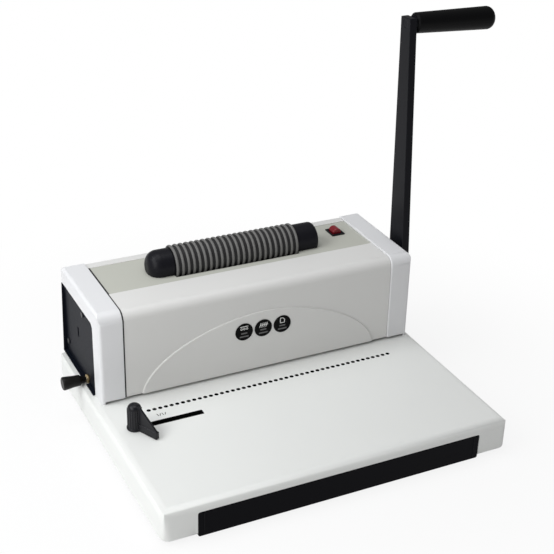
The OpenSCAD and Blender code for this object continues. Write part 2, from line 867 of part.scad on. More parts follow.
module cover_screws() color(steel) {
    for (x = [-foot_screw_x, foot_screw_x], z = cover_screw_z) {
        translate([x, tower_back, z]) rotate([90, 0, 0]) screw_up_flat(cover_t + flange_t);
    }
}

// A screw with a thin head, so that it stays inside the depth of the base
module screw_up_flat(shank) {
    translate([0, 0, -tower_inset]) cylinder(h = tower_inset, r = head_r);
    cylinder(h = shank, r = screw_r - press);
}

// The solid of an end cap, drawn in by a wall
module cap_solid(inset, inner_x, bottom) {
    r = cap_edge_r - inset / 2;
    intersection() {
        along_x(inner_x, tx - inset) tower_outline(inset);
        along_y(tower_front - eps, tower_back + eps)
            one_round(inner_x, tx - inset, bottom, tower_top - inset, r);
        along_z(bottom, tower_top + eps) mirror([0, 1, 0])
            one_round(inner_x, tx - inset, -tower_back - eps, -tower_front - inset, r);
    }
}

module end_cap() {
    difference() {
        cap_solid(0, seam_x, deck_z);
        cap_solid(cap_t, seam_x - eps, deck_z - eps / 2);
        // The side is open behind the front rim and below the top rim
        along_x(seam_x - eps, tx + eps) polygon([[rim_y, deck_z - eps], [tower_back + eps, deck_z - eps],
            [tower_back + eps, rim_z], [rim_y + 4, rim_z], [rim_y, rim_z - 4]]);
        // The throat runs on under the front of the cap
        block(seam_x - eps, tx - cap_edge_r, tower_front - eps, rim_y, deck_z - eps, guide_z0);
    }
    seam_lip(seam_x - lip_w, seam_x + 3);
    // Shoulder that ties the lip to the cap's wall
    along_x(seam_x, seam_x + 3) intersection() {
        difference() {
            tower_outline(cap_t - 0.4);
            cover_outline(cover_t + 0.4);
        }
        seam_zone();
    }
}

module left_end_cap() color(cap_white) mirror([1, 0, 0]) end_cap();

module right_end_cap() color(cap_white) end_cap();

// Punch unit

module die_plate() color(steel) {
    difference() {
        block(-die_x, die_x, die_y0, die_y1, die_z0, deck_z);
        translate([0, hole_y, die_z0 - eps]) hole_places() cylinder(h = die_t + 2 * eps, r = pin_r + run_gap);
        // Groove that lets the stop rod reach below the paper
        block(-die_x - eps, die_x + eps, rod_y - rod_sweep, die_y1 + eps,
            rod_axis_z - rod_sweep, deck_z + eps);
    }
}

module throat_spacers() color(steel) {
    both_sides() block(row_half + 6, die_x, guide_plate_y0, guide_plate_y1, deck_z, guide_z0);
}

module pin_guide_plate() color(steel) {
    difference() {
        block(-die_x, die_x, guide_plate_y0, guide_plate_y1, guide_z0, guide_z1);
        translate([0, hole_y, guide_z0 - eps]) hole_places()
            cylinder(h = guide_plate_t + 2 * eps, r = pin_r + run_gap);
    }
}

module beam_guides() color(dark_steel) {
    both_sides() difference() {
        block(guide_block_x, plate_x0, beam_y0 - guide_block_wall, beam_y1 + guide_block_wall,
            guide_z1 + 1, beam_z1 + 2);
        block(guide_block_x - eps, beam_x + slide_gap, beam_y0 - slide_gap, beam_y1 + slide_gap,
            guide_z1, beam_z1 + 2 + eps);
    }
}

// A flanged bush that passes through the right plate, and one inside the left plate
module shaft_bushes() color(bronze) {
    difference() {
        union() {
            rod_along_x(plate_x0 - bush_flange_t, plate_x1, shaft_y, shaft_z, bush_r - press);
            rod_along_x(plate_x0 - bush_flange_t, plate_x0, shaft_y, shaft_z, bush_flange_r);
            rod_along_x(-plate_x0, -plate_x0 + left_bush_len, shaft_y, shaft_z, bush_r);
            rod_along_x(-plate_x0, -plate_x0 + bush_flange_t, shaft_y, shaft_z, bush_flange_r);
        }
        rod_along_x(-plate_x0 - eps, plate_x1 + eps, shaft_y, shaft_z, shaft_r + run_gap);
    }
}

module margin_bushes() color(bronze) {
    both_sides() difference() {
        union() {
            rod_along_x(plate_x0, plate_x1 + margin_flange_t, rod_y, rod_axis_z, margin_bush_r - press);
            intersection() {
                rod_along_x(plate_x1, plate_x1 + margin_flange_t, rod_y, rod_axis_z, margin_flange_r);
                block(plate_x1, plate_x1 + margin_flange_t, rod_y - margin_room, rod_y + margin_room,
                    deck_z, rod_axis_z + margin_room);
            }
        }
        rod_along_x(plate_x0 - eps, plate_x1 + margin_flange_t + eps, rod_y, rod_axis_z, rod_r + run_gap);
    }
}

module spring_lugs() color(steel) {
    for (x = [-spring_x, spring_x]) {
        block(x - lug_w / 2, x + lug_w / 2, beam_y1, tie_top_y + lug_w / 2, lug_z1 - lug_t, lug_z1);
        rod_along_z(x, tie_top_y, lug_z1 - join, lug_z1 + spring_anchor_h, spring_anchor_r);
    }
}

// A coil spring as one unbroken tube along a helix
module coil_spring(z0, z1, turns, mean_r, wire) {
    sides = 6;
    rings = turns * 8;
    wire_r = wire / 2;
    lean = atan((z1 - z0) / turns / (2 * PI * mean_r));
    points = [for (i = [0 : rings], s = [0 : sides - 1])
        let (a = 360 * turns * i / rings, b = 360 * s / sides,
            out = wire_r * cos(b), up = wire_r * sin(b), r = mean_r + out)
        [r * cos(a) + up * sin(lean) * sin(a), r * sin(a) - up * sin(lean) * cos(a),
            z0 + (z1 - z0) * i / rings + up * cos(lean)]];
    walls = [for (i = [0 : rings - 1], s = [0 : sides - 1])
        let (a = i * sides + s, b = i * sides + (s + 1) % sides)
        for (f = [[a, a + sides, b + sides], [a, b + sides, b]]) f];
    start = [for (s = [1 : sides - 2]) [0, s, s + 1]];
    last = rings * sides;
    end = [for (s = [1 : sides - 2]) [last, last + s + 1, last + s]];
    polyhedron(points, concat(walls, start, end));
}

module return_springs() color(steel) {
    for (x = [-spring_x, spring_x]) translate([x, tie_top_y, 0])
        coil_spring(spring_z0, spring_z1, spring_turns, spring_r, spring_wire);
}

module punch_beam() color(dark_steel) {
    difference() {
        block(-beam_x, beam_x, beam_y0, beam_y1, beam_z0, beam_z1);
        translate([0, hole_y, beam_z0 - eps]) hole_places() cylinder(h = pin_seat + eps, r = pin_r + press);
        for (x = [-pinion_x, pinion_x]) {
            rod_along_y(x, beam_y0 - eps, beam_y0 + rack_seat + eps, rack_screw_z(), screw_r);
        }
    }
}

module punch_pins() color(steel) {
    translate([0, hole_y, pin_tip]) hole_places() cylinder(h = beam_z0 + pin_seat - pin_tip, r = pin_r);
}

// Rack and pinion

// Angle of an involute, in degrees, at radius r from a base circle rb
function involute(r, rb) = sqrt(pow(r / rb, 2) - 1) * 180 / PI - acos(rb / r);

// Half of a tooth's angle at radius r
function half_tooth(r, rb) = 90 / pinion_teeth - backlash / 4 / gear_r * 180 / PI
    + involute(gear_r, rb) - involute(max(r, rb), rb);

module pinion_outline() {
    rb = gear_r * cos(gear_angle);
    root = gear_r - gear_ded;
    tip = gear_r + gear_add;
    steps = 5;
    radii = concat([root - join], [for (i = [0 : steps]) rb + (tip - rb) * i / steps]);
    right = [for (r = radii) r * [cos(half_tooth(r, rb)), -sin(half_tooth(r, rb))]];
    left = [for (i = [len(radii) - 1 : -1 : 0]) [right[i][0], -right[i][1]]];
    circle(root);
    for (k = [0 : pinion_teeth - 1]) rotate(180 + k * 360 / pinion_teeth) polygon(concat(right, left));
}

module drive_pinions() color(steel) {
    for (x = [-pinion_x, pinion_x]) {
        difference() {
            translate([0, shaft_y, shaft_z]) along_x(x - pinion_w / 2, x + pinion_w / 2) pinion_outline();
            rod_along_x(x - pinion_w, x + pinion_w, shaft_y, shaft_z, shaft_r + press);
        }
    }
}

function rack_screw_z() = (beam_z0 + beam_z1) / 2;

module rack_outline() {
    slope = tan(gear_angle);
    half = tooth_pitch / 4 - backlash / 4;
    root_y = rack_y - gear_ded;
    translate([rack_back, beam_z0]) square([root_y - rack_back, rack_top - beam_z0]);
    translate([rack_back, beam_z0]) square([beam_y0 - rack_back, beam_h]);
    low = ceil((beam_z1 + gear_module - shaft_z) / tooth_pitch);
    high = floor((rack_top - gear_module - shaft_z) / tooth_pitch);
    for (k = [low : high - 1]) translate([rack_y, shaft_z + (k + 0.5) * tooth_pitch]) polygon([
        [-gear_ded - join, -half - (gear_ded + join) * slope], [gear_add, -half + gear_add * slope],
        [gear_add, half - gear_add * slope], [-gear_ded - join, half + (gear_ded + join) * slope]]);
}

module beam_racks() color(steel) {
    for (x = [-pinion_x, pinion_x]) difference() {
        along_x(x - rack_w / 2, x + rack_w / 2) rack_outline();
        rod_along_y(x, rack_back - eps, beam_y0 + eps, rack_screw_z(), screw_r + 0.3);
    }
}

module rack_screws() color(dark_steel) {
    for (x = [-pinion_x, pinion_x]) translate([x, rack_back, rack_screw_z()]) rotate([-90, 0, 0])
        screw_up(beam_y0 - rack_back + rack_seat);
}

// Lever

module punch_shaft() color(steel) {
    difference() {
        rod_along_x(shaft_left, shaft_end, shaft_y, shaft_z, shaft_r);
        rod_along_x(shaft_end - lever_bolt_hole, shaft_end + eps, shaft_y, shaft_z, lever_bolt_r);
    }
}

// Places a piece of the lever: the shaft's axis is the origin and the arm runs up
module on_lever() {
    translate([0, shaft_y, shaft_z]) rotate([-lever_lean, 0, 0]) children();
}

// Places the grip and its stud: the arm's outer face is at X = 0, and the outer end droops a little
module on_grip() {
    on_lever() translate([lever_x1, 0, lever_len]) rotate([0, grip_droop, 0]) children();
}

module lever_arm() color(near_black) {
    difference() {
        on_lever() lever_bar();
        on_grip() rod_along_x(-lever_t - eps, eps, 0, 0, stud_r + press);
    }
}

module lever_bar() {
    top = lever_len + lever_tip;
    difference() {
        union() {
            along_x(lever_x0, lever_x1) polygon([[-lever_w_low / 2, 0], [lever_w_low / 2, 0],
                [lever_w_top / 2, top], [-lever_w_top / 2, top]]);
            rod_along_x(tx + 1.5, lever_x1, 0, 0, hub_r);
        }
        rod_along_x(tx, lever_x1 + eps, 0, 0, shaft_r + press);
    }
}

module lever_screw() color(steel) {
    rod_along_x(lever_x1, lever_x1 + 1.5, shaft_y, shaft_z, shaft_r + 4);
    rod_along_x(lever_x1 + 1.5 - join, lever_x1 + 5, shaft_y, shaft_z, 5);
    rod_along_x(lever_x1 - lever_bolt_len, lever_x1 + 1.5, shaft_y, shaft_z, lever_bolt_r - press);
}

module grip_stud() color(dark_steel) {
    // The collar keeps off the arm by what its rim dips in the droop
    on_grip() {
        rod_along_x(-lever_t + 0.3, grip_gap + stud_len, 0, 0, stud_r);
        rod_along_x(stud_collar_r * sin(grip_droop) + 0.1, grip_gap, 0, 0, stud_collar_r);
    }
}

module lever_grip() color(near_black) {
    r_in = grip_d_in / 2;
    r_out = grip_d_out / 2;
    edge = 2;
    on_grip() translate([grip_gap, 0, 0]) rotate([0, 90, 0]) rotate_extrude() difference() {
        union() {
            polygon([[0, 0], [r_in - edge, 0], [r_in, edge], [r_out, grip_len - 8], [0, grip_len - 8]]);
            intersection() {
                translate([r_out - 8, grip_len - 8]) circle(8);
                translate([0, grip_len - 8]) square([r_out, 8]);
            }
            translate([0, grip_len - 8]) square([r_out - 8, 8]);
        }
        translate([-eps, -eps]) square([stud_r + press + eps, stud_len + eps]);
    }
}

// Edge guide

module guide_slider() color(steel) {
    block(guide_x - 9, guide_x + 9, slot_y - 7, slot_y + 7,
        deck_z - base_wall - drop_in - 3, deck_z - base_wall - drop_in);
    rod_along_z(guide_x, slot_y, deck_z - base_wall - drop_in - 1, guide_stud_top, guide_stud_r);
}

// A flat piece of the guide's fin that stands on the deck and runs out from the post
module fin_plate(thickness) {
    translate([thickness / 2, 0, 0]) rotate([90, 0, -90]) linear_extrude(thickness) children();
}

module edge_guide() color(near_black) {
    r = guide_post_d / 2;
    top_z = guide_post_h - guide_top_r;
    ridge_z = guide_post_h - 1.2;
    translate([guide_x, slot_y, guide_z]) difference() {
        union() {
            rotate_extrude() {
                square([r, top_z]);
                square([r - guide_top_r, guide_post_h]);
                square([guide_foot_r, guide_foot_t]);
                intersection() {
                    translate([r - guide_top_r, top_z]) circle(guide_top_r);
                    square([r, guide_post_h]);
                }
            }
            rotate(guide_turn) {
                fin_plate(guide_web_t) polygon([[0, 0], [guide_reach, 0], [guide_reach, guide_bar_h],
                    [r + 1.2, ridge_z], [0, ridge_z]]);
                fin_plate(guide_fin_t) square([guide_reach, guide_bar_h]);
            }
        }
        translate([0, 0, -eps]) cylinder(h = guide_stud_top - guide_z + 1 + eps, r = guide_stud_r + run_gap);
    }
}

// Roller and its drive

// Places an outline that was spun about Z on the roller's axis, from x upwards
module on_roller(x) {
    translate([x, roller_y, roller_z]) rotate([0, 90, 0]) children();
}

module roller_shaft() color(steel) {
    reach = support_gap + bearing_len + 5 + pulley_w;
    rod_along_x(roller_x0 - support_gap - bearing_len - 3, roller_x1 + reach,
        roller_y, roller_z, roller_shaft_r);
}

module roller_core() color(near_black) {
    web = 6;
    on_roller(roller_x0) rotate_extrude() difference() {
        translate([roller_shaft_r + press, 0]) square([core_d / 2 - roller_shaft_r - press, roller_len]);
        translate([roller_shaft_r + 3, web]) square([core_d / 2 - roller_shaft_r - 6, roller_len - 2 * web]);
    }
}

module roller_sleeve() color(rib_grey) {
    bore = core_d / 2 + press;
    rib_r = rib_w / 2;
    on_roller(roller_x0) rotate_extrude() {
        translate([bore, 0]) square([groove_d / 2 - bore, roller_len]);
        for (i = [0 : rib_count - 1]) translate([roller_r - rib_r, rib_r + i * rib_pitch]) circle(rib_r);
    }
}

module belt_pulley() {
    rotate_extrude() difference() {
        square([pulley_flange_r, pulley_w]);
        translate([pulley_r, pulley_flange]) square([pulley_flange_r, pulley_w - 2 * pulley_flange]);
    }
}

module roller_pulley() color(near_black) {
    difference() {
        on_roller(belt_x - pulley_w / 2) belt_pulley();
        rod_along_x(belt_x - pulley_w, belt_x + pulley_w, roller_y, roller_z, roller_shaft_r + press);
    }
}

module motor_pulley() color(near_black) {
    translate([belt_x - pulley_w / 2, motor_y, motor_axis_z]) rotate([0, 90, 0]) belt_pulley();
    rod_along_x(motor_x1 - bracket_t - 8, belt_x - pulley_w / 2 + join, motor_y, motor_axis_z, motor_shaft_r);
}

// A loop round both pulleys, drawn out by an offset
module belt_loop(out) {
    r = pulley_r + out;
    span = [motor_y - roller_y, motor_axis_z - roller_z];
    reach = norm(span);
    translate([roller_y, roller_z]) rotate(atan2(span[1], span[0])) {
        translate([0, -r]) square([reach, 2 * r]);
        circle(r);
        translate([reach, 0]) circle(r);
    }
}

module drive_belt() color(near_black) {
    along_x(belt_x - belt_w / 2, belt_x + belt_w / 2) difference() {
        belt_loop(belt_gap + belt_t);
        belt_loop(belt_gap);
    }
}

// A hollow support that stands on the grey panel, at the right of the roller
module roller_support(edge_r) {
    x0 = roller_x1 + support_gap;
    x1 = x0 + support_len;
    difference() {
        intersection() {
            on_roller(x0) rotate_extrude() support_outline(edge_r);
            block(x0 - eps, x1 + eps, roller_y - support_r - eps, roller_y + support_r + eps,
                panel_top, roller_z + support_r + eps);
        }
        rod_along_x(x0 + bearing_len, x1 - support_wall - edge_r * 0.4, roller_y, roller_z, support_hollow);
        block(x0 + bearing_len, x1 - support_wall - edge_r * 0.4, roller_y - support_hollow,
            roller_y + support_hollow, panel_top - eps, roller_z);
        rod_along_x(x0 - eps, x0 + bearing_len + eps, roller_y, roller_z, bearing_r);
    }
}

// Half outline of a support, with its outer end rounded
module support_outline(edge_r) {
    square([support_r, support_len - edge_r]);
    square([support_r - edge_r, support_len]);
    intersection() {
        translate([support_r - edge_r, support_len - edge_r]) circle(edge_r);
        square([support_r, support_len]);
    }
}

// Mirrors a piece about the middle of the roller
module at_roller_left() {
    translate([2 * roller_x, 0, 0]) mirror([1, 0, 0]) children();
}

module roller_support_left() color(near_black) at_roller_left() roller_support(support_left_r);

module roller_support_right() color(near_black) roller_support(support_right_r);

module roller_bearing() {
    x0 = roller_x1 + support_gap;
    difference() {
        rod_along_x(x0, x0 + bearing_len, roller_y, roller_z, bearing_r - press);
        rod_along_x(x0 - eps, x0 + bearing_len + eps, roller_y, roller_z, roller_shaft_r + run_gap);
    }
}

module roller_bearings() color(bronze) {
    roller_bearing();
    at_roller_left() roller_bearing();
}

module motor_body() color(steel) {
    x1 = motor_x1 - bracket_t;
    difference() {
        rod_along_x(motor_x0, x1, motor_y, motor_axis_z, motor_r);
        rod_along_x(x1 - 12, x1 + eps, motor_y, motor_axis_z, motor_shaft_r + run_gap);
    }
}

function bracket_screw_x() = [motor_x1 - bracket_foot + 7, motor_x1 - bracket_foot + 19];

module motor_bracket() color(dark_steel) {
    difference() {
        union() {
            block(motor_x1 - bracket_t, motor_x1, motor_y - bracket_half, motor_y + bracket_half,
                deck_z, motor_axis_z + bracket_half);
            block(motor_x1 - bracket_foot, motor_x1, motor_y - bracket_half, motor_y + bracket_half,
                deck_z, deck_z + bracket_t);
        }
        rod_along_x(motor_x1 - bracket_t - eps, motor_x1 + eps, motor_y, motor_axis_z, motor_shaft_r + 3);
        for (x = bracket_screw_x()) rod_along_z(x, motor_y, deck_z - eps, deck_z + bracket_t + eps, screw_r);
        // Way for the rear tie bar
        rod_along_x(motor_x1 - bracket_foot - eps, motor_x1 + eps, tie_back_y, tie_back_z, tie_r + 0.5);
    }
}

// Switch and inlet

module switch_housing() color(near_black) {
    difference() {
        union() {
            block(switch_x - switch_w / 2, switch_x + switch_w / 2,
                switch_y - switch_l / 2, switch_y + switch_l / 2, panel_top, bezel_top);
            block(switch_x - switch_body_w / 2, switch_x + switch_body_w / 2,
                switch_y - switch_body_l / 2, switch_y + switch_body_l / 2,
                bezel_top - switch_body_h, panel_top + join);
        }
        rocker_bay = rocker_l / 2 + 0.3;
        rod_along_y(switch_x, switch_y - rocker_bay, switch_y + rocker_bay, rocker_z, rocker_room);
        block(switch_x - rocker_room, switch_x + rocker_room, switch_y - rocker_bay, switch_y + rocker_bay,
            rocker_z, bezel_top + eps);
    }
}

module switch_rocker() color(switch_red) {
    translate([switch_x, switch_y, rocker_z]) rotate([0, -rocker_tilt, 0]) intersection() {
        rod_along_y(0, -rocker_l / 2, rocker_l / 2, 0, rocker_r);
        block(-rocker_half, rocker_half, -rocker_l, rocker_l, -rocker_foot, rocker_r + eps);
    }
}

module power_inlet() color(near_black) {
    z = deck_z + inlet_z;
    y0 = tower_back + inlet_flange_t;
    half_w = inlet_w / 2;
    half_h = inlet_h / 2;
    difference() {
        union() {
            block(inlet_x - half_w - inlet_flange, inlet_x + half_w + inlet_flange, tower_back, y0,
                z - half_h - inlet_flange, z + half_h + inlet_flange);
            block(inlet_x - half_w, inlet_x + half_w, y0 - inlet_depth - inlet_wall, tower_back + join / 2,
                z - half_h, z + half_h);
        }
        block(inlet_x - half_w + inlet_wall, inlet_x + half_w - inlet_wall, y0 - inlet_depth, y0 + eps,
            z - half_h + inlet_wall, z + half_h - inlet_wall);
    }
    // Three contact blades
    for (p = [[-7, -2], [0, 3], [7, -2]]) {
        block(inlet_x + p[0] - 1, inlet_x + p[0] + 1, y0 - inlet_depth - join, y0 - inlet_pin_back,
            z + p[1] - 2, z + p[1] + 2);
    }
}

// Margin stop

module margin_rod() color(steel) {
    rod_along_x(knob_x0 + 6, -(plate_x0 - 14), rod_y, rod_axis_z, rod_r);
    rod_along_x(-(plate_x0 - 14) - join, plate_x0 - 14 + join, rod_y + rod_cam, rod_axis_z, rod_cam_d / 2);
    rod_along_x(plate_x0 - 14, plate_x1, rod_y, rod_axis_z, rod_r);
}

module margin_knob() color(near_black) {
    tip_r = knob_d / 2;
    neck_r = rod_r + 1.2;
    waist_r = tip_r - 1.1;
    bore = rod_r + press;
    translate([knob_x1, rod_y, rod_axis_z]) rotate([0, -90, 0]) rotate_extrude() difference() {
        polygon([[0, 0], [neck_r, 0], [neck_r + 0.8, 5], [waist_r - 0.2, 7], [waist_r, knob_len * 0.5],
            [tip_r, knob_len - 3], [tip_r, knob_len - 1], [tip_r - 1, knob_len], [0, knob_len]]);
        translate([-eps, -eps]) square([bore + eps, knob_len - 6 + eps]);
    }
}

// Drawer

module drawer_front() color(near_black) {
    along_y(-by, -by + drawer_front_t)
        soft_rect(-drawer_x + drawer_gap, drawer_x - drawer_gap, drawer_clear,
            foot_h + drawer_h - drawer_gap, drawer_corner_r);
}

// The tray's floor with its back wall; the drawer front closes the other end
module drawer_tray() color(near_black) {
    block(-tray_inner, tray_inner, tray_y0, tray_y1, tray_z0, tray_z0 + tray_wall);
    block(-tray_inner, tray_inner, tray_y1 - tray_wall, tray_y1, tray_z0, tray_z0 + tray_h);
}

module drawer_sides() color(near_black) {
    both_sides() block(tray_inner, tray_x, tray_y0, tray_y1, tray_z0, tray_z0 + tray_h);
}

base_deck();
base_pan();
rubber_feet();
pan_screws();
drawer_runners();
left_side_plate();
right_side_plate();
plate_screws();
tie_bars();
frame_screws();
front_cover();
badge_discs();
top_panel();
rear_cover();
cover_screws();
left_end_cap();
right_end_cap();
die_plate();
throat_spacers();
pin_guide_plate();
beam_guides();
shaft_bushes();
margin_bushes();
return_springs();
roller_support_left();
roller_support_right();
roller_bearings();
motor_body();
motor_bracket();
drive_belt();
switch_housing();
power_inlet();
punch_shaft();
drive_pinions();
lever_arm();
grip_stud();
lever_grip();
lever_screw();
punch_beam();
punch_pins();
beam_racks();
rack_screws();
spring_lugs();
guide_slider();
edge_guide();
roller_shaft();
roller_core();
roller_sleeve();
roller_pulley();
motor_pulley();
switch_rocker();
margin_rod();
margin_knob();
drawer_front();
drawer_tray();
drawer_sides();
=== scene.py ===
import math

import bmesh
import bpy
from mathutils import Euler, Matrix, Vector


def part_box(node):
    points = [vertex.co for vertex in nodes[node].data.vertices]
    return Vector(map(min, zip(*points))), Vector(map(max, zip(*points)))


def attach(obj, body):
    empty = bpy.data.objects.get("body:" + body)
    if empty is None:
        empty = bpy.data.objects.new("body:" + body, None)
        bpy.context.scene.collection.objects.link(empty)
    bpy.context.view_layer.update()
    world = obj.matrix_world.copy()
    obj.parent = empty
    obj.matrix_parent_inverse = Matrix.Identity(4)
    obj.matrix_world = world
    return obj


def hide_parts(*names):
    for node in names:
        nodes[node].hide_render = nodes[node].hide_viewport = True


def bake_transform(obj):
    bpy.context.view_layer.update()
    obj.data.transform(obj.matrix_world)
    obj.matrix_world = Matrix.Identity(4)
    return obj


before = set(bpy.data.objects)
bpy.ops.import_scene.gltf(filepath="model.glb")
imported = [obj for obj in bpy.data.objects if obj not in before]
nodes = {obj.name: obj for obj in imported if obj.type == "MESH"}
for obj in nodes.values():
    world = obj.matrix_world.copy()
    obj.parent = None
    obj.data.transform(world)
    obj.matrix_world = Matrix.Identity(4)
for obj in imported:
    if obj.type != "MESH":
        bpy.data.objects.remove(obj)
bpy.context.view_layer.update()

# Base shell: a deep steel tray turned upside down and sprayed off-white with a
# fine orange peel. Its skirt is rolled under, and its holes are punched.


def finish(name, colour, rough, drift=0.03, grain=900.0, depth=0.05, worn=0.0, worn_colour=(0.0, 0.0, 0.0),
           metal=0.0, shine=0.5, brushed=(1.0, 1.0, 1.0)):
    """A surface with slow colour drift, fine grain in bump and roughness, and rubbed edges.

    The grain's depth is in millimetres, and worn says how far worn_colour covers a rubbed edge.
    """
    mm = 0.001
    gloss_spread = 0.06
    rub_reach = 0.0012
    rub_starts, rub_full = 0.80, 0.45
    material = bpy.data.materials.new(name)
    material.use_nodes = True
    tree = material.node_tree
    shader = tree.nodes["Principled BSDF"]
    shader.inputs["Metallic"].default_value = metal
    shader.inputs["Specular IOR Level"].default_value = shine
    place = tree.nodes.new("ShaderNodeTexCoord").outputs["Object"]

    cloud = tree.nodes.new("ShaderNodeTexNoise")
    cloud.inputs["Scale"].default_value = 14.0
    cloud.inputs["Detail"].default_value = 4.0
    tree.links.new(place, cloud.inputs["Vector"])
    tint = tree.nodes.new("ShaderNodeMix")
    tint.data_type = "RGBA"
    tint.inputs["A"].default_value = [c * (1.0 - drift) for c in colour] + [1.0]
    tint.inputs["B"].default_value = [min(c * (1.0 + drift), 1.0) for c in colour] + [1.0]
    tree.links.new(cloud.outputs["Fac"], tint.inputs["Factor"])
    coat = tint.outputs["Result"]
    if worn > 0.0:
        corner = tree.nodes.new("ShaderNodeAmbientOcclusion")
        corner.inside = True
        corner.only_local = True
        corner.samples = 4
        corner.inputs["Distance"].default_value = rub_reach
        edge = tree.nodes.new("ShaderNodeMapRange")
        edge.inputs["From Min"].default_value = rub_starts
        edge.inputs["From Max"].default_value = rub_full
        edge.inputs["To Max"].default_value = worn
        tree.links.new(corner.outputs["AO"], edge.inputs["Value"])
        rubbed = tree.nodes.new("ShaderNodeMix")
        rubbed.data_type = "RGBA"
        rubbed.inputs["B"].default_value = list(worn_colour) + [1.0]
        tree.links.new(edge.outputs["Result"], rubbed.inputs["Factor"])
        tree.links.new(coat, rubbed.inputs["A"])
        coat = rubbed.outputs["Result"]
    tree.links.new(coat, shader.inputs["Base Color"])

    along = tree.nodes.new("ShaderNodeMapping")
    along.inputs["Scale"].default_value = brushed
    tree.links.new(place, along.inputs["Vector"])
    fine = tree.nodes.new("ShaderNodeTexNoise")
    fine.inputs["Scale"].default_value = grain
    fine.inputs["Detail"].default_value = 3.0
    tree.links.new(along.outputs["Vector"], fine.inputs["Vector"])
    gloss = tree.nodes.new("ShaderNodeMapRange")
    gloss.inputs["To Min"].default_value = rough - gloss_spread
    gloss.inputs["To Max"].default_value = rough + gloss_spread
    tree.links.new(fine.outputs["Fac"], gloss.inputs["Value"])
    tree.links.new(gloss.outputs["Result"], shader.inputs["Roughness"])
    relief = tree.nodes.new("ShaderNodeBump")
    relief.inputs["Strength"].default_value = 0.5
    relief.inputs["Distance"].default_value = depth * mm
    tree.links.new(fine.outputs["Fac"], relief.inputs["Height"])
    tree.links.new(relief.outputs["Normal"], shader.inputs["Normal"])
    return material


def add_piece(name, shape, body, slot, material, *stands_for):
    """Puts a finished mesh in the scene, on its body, in place of the CAD solids it stands for."""
    crease_angle = math.radians(50.0)
    mesh = bpy.data.meshes.new(name)
    for face in shape.faces:
        face.smooth = True
    shape.to_mesh(mesh)
    shape.free()
    mesh.set_sharp_from_angle(angle=crease_angle)
    mesh.materials.append(material)
    piece = bpy.data.objects.new(name, mesh)
    bpy.context.scene.collection.objects.link(piece)
    flats = piece.modifiers.new("true_flats", "WEIGHTED_NORMAL")
    flats.keep_sharp = True
    if body:
        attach(piece, body)
    if stands_for:
        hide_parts(*stands_for)
    return piece


merge_gap = 1e-6
sliver = 5e-6
flat_angle = math.radians(0.4)


def solid_of(node):
    """A merged copy of a CAD solid, its flat faces made whole again."""
    shape = bmesh.new()
    shape.from_mesh(nodes[node].data)
    bmesh.ops.remove_doubles(shape, verts=shape.verts, dist=merge_gap)
    bmesh.ops.dissolve_limit(shape, angle_limit=flat_angle, verts=shape.verts, edges=shape.edges)
    return shape


def sharp_edges(shape, least=35.0):
    """The edges where two faces turn by more than least degrees."""
    return [e for e in shape.edges if e.is_manifold and e.calc_face_angle(0.0) > math.radians(least)]


def ease(shape, edges, width, steps=2):
    """Rounds edges the way a mould or a press leaves them."""
    bmesh.ops.bevel(
        shape, geom=edges, offset=width, offset_type="OFFSET", segments=steps,
        affect="EDGES", profile=0.5, material=-1, clamp_overlap=False,
    )
    bmesh.ops.remove_doubles(shape, verts=shape.verts, dist=sliver)


def ease_where(shape, chosen, width, steps):
    """Rounds only those sharp edges that a test chooses."""
    ease(shape, [e for e in sharp_edges(shape) if chosen(e)], width, steps)


def eased(node, width, steps=2):
    """A copy of a CAD solid with all its sharp edges rounded."""
    shape = solid_of(node)
    ease(shape, sharp_edges(shape), width, steps)
    return shape


white_paint = finish("white_paint", (0.83, 0.84, 0.82), rough=0.45, drift=0.015, grain=1100.0)
base_low, base_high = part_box("base_deck")
deck_z = base_high.z
touch = 1e-5
skirt_share = 0.97
outward = 0.001
front_wall = 0.0035
drawer_corner_r = 0.0024
skirt_roll_r = 0.0022
deck_edge_r = 0.00012


def on_outer_foot(edge):
    """The lower outer edge of the base, where the skirt is rolled under."""
    if max(abs(v.co.z - base_low.z) for v in edge.verts) > touch:
        return False
    middle = (edge.verts[0].co + edge.verts[1].co) / 2.0
    if max(abs(middle.x) / base_high.x, abs(middle.y) / base_high.y) < skirt_share:
        return False
    return any(f.normal.x * middle.x + f.normal.y * middle.y > outward for f in edge.link_faces)


def in_deck_top(edge):
    """The edges of the deck's upper face and of the holes in it."""
    return min(v.co.z for v in edge.verts) > deck_z - touch


def in_drawer_corner(edge):
    """The upper corners of the drawer's opening, cut round in the front wall."""
    one, other = (v.co for v in edge.verts)
    runs_back = abs(one.x - other.x) < touch and abs(one.z - other.z) < touch
    return runs_back and max(one.y, other.y) < base_low.y + front_wall and not edge.is_convex


shell = solid_of("base_deck")
shell.normal_update()
ease_where(shell, in_drawer_corner, drawer_corner_r, steps=5)
ease_where(shell, on_outer_foot, skirt_roll_r, steps=4)
ease_where(shell, in_deck_top, deck_edge_r, steps=2)
add_piece("base_shell", shell, "frame", "white_paint", white_paint, "base_deck")

# Deck liners: black collars line each hole of the row and a thin black wall
# lines the guide's slot, so both look black inside; the collars stand on a black
# strip under the deck. Both have a low rim turned over on the deck.
liner_black = finish("liner_black", (0.004, 0.004, 0.004), rough=0.70, drift=0.10, grain=1400.0, shine=0.15)
row_y = 0.0054
row_pitch = 0.00635
row_count = 46
collar_r = 0.0018
collar_rim_r = 0.0023
collar_wall = 0.0001
rim_top = deck_z + 0.00012
rim_foot = deck_z + 0.00004
strip_top = deck_z - 0.0033
strip_size = (row_pitch * (row_count + 1), 0.010, 0.0010)


def add_block(shape, place, size):
    """Adds a plain block to a mesh, with its middle at a place and turned as the place is."""
    return bmesh.ops.create_cube(shape, size=1.0, matrix=place @ Matrix.Diagonal((*size, 1.0)))


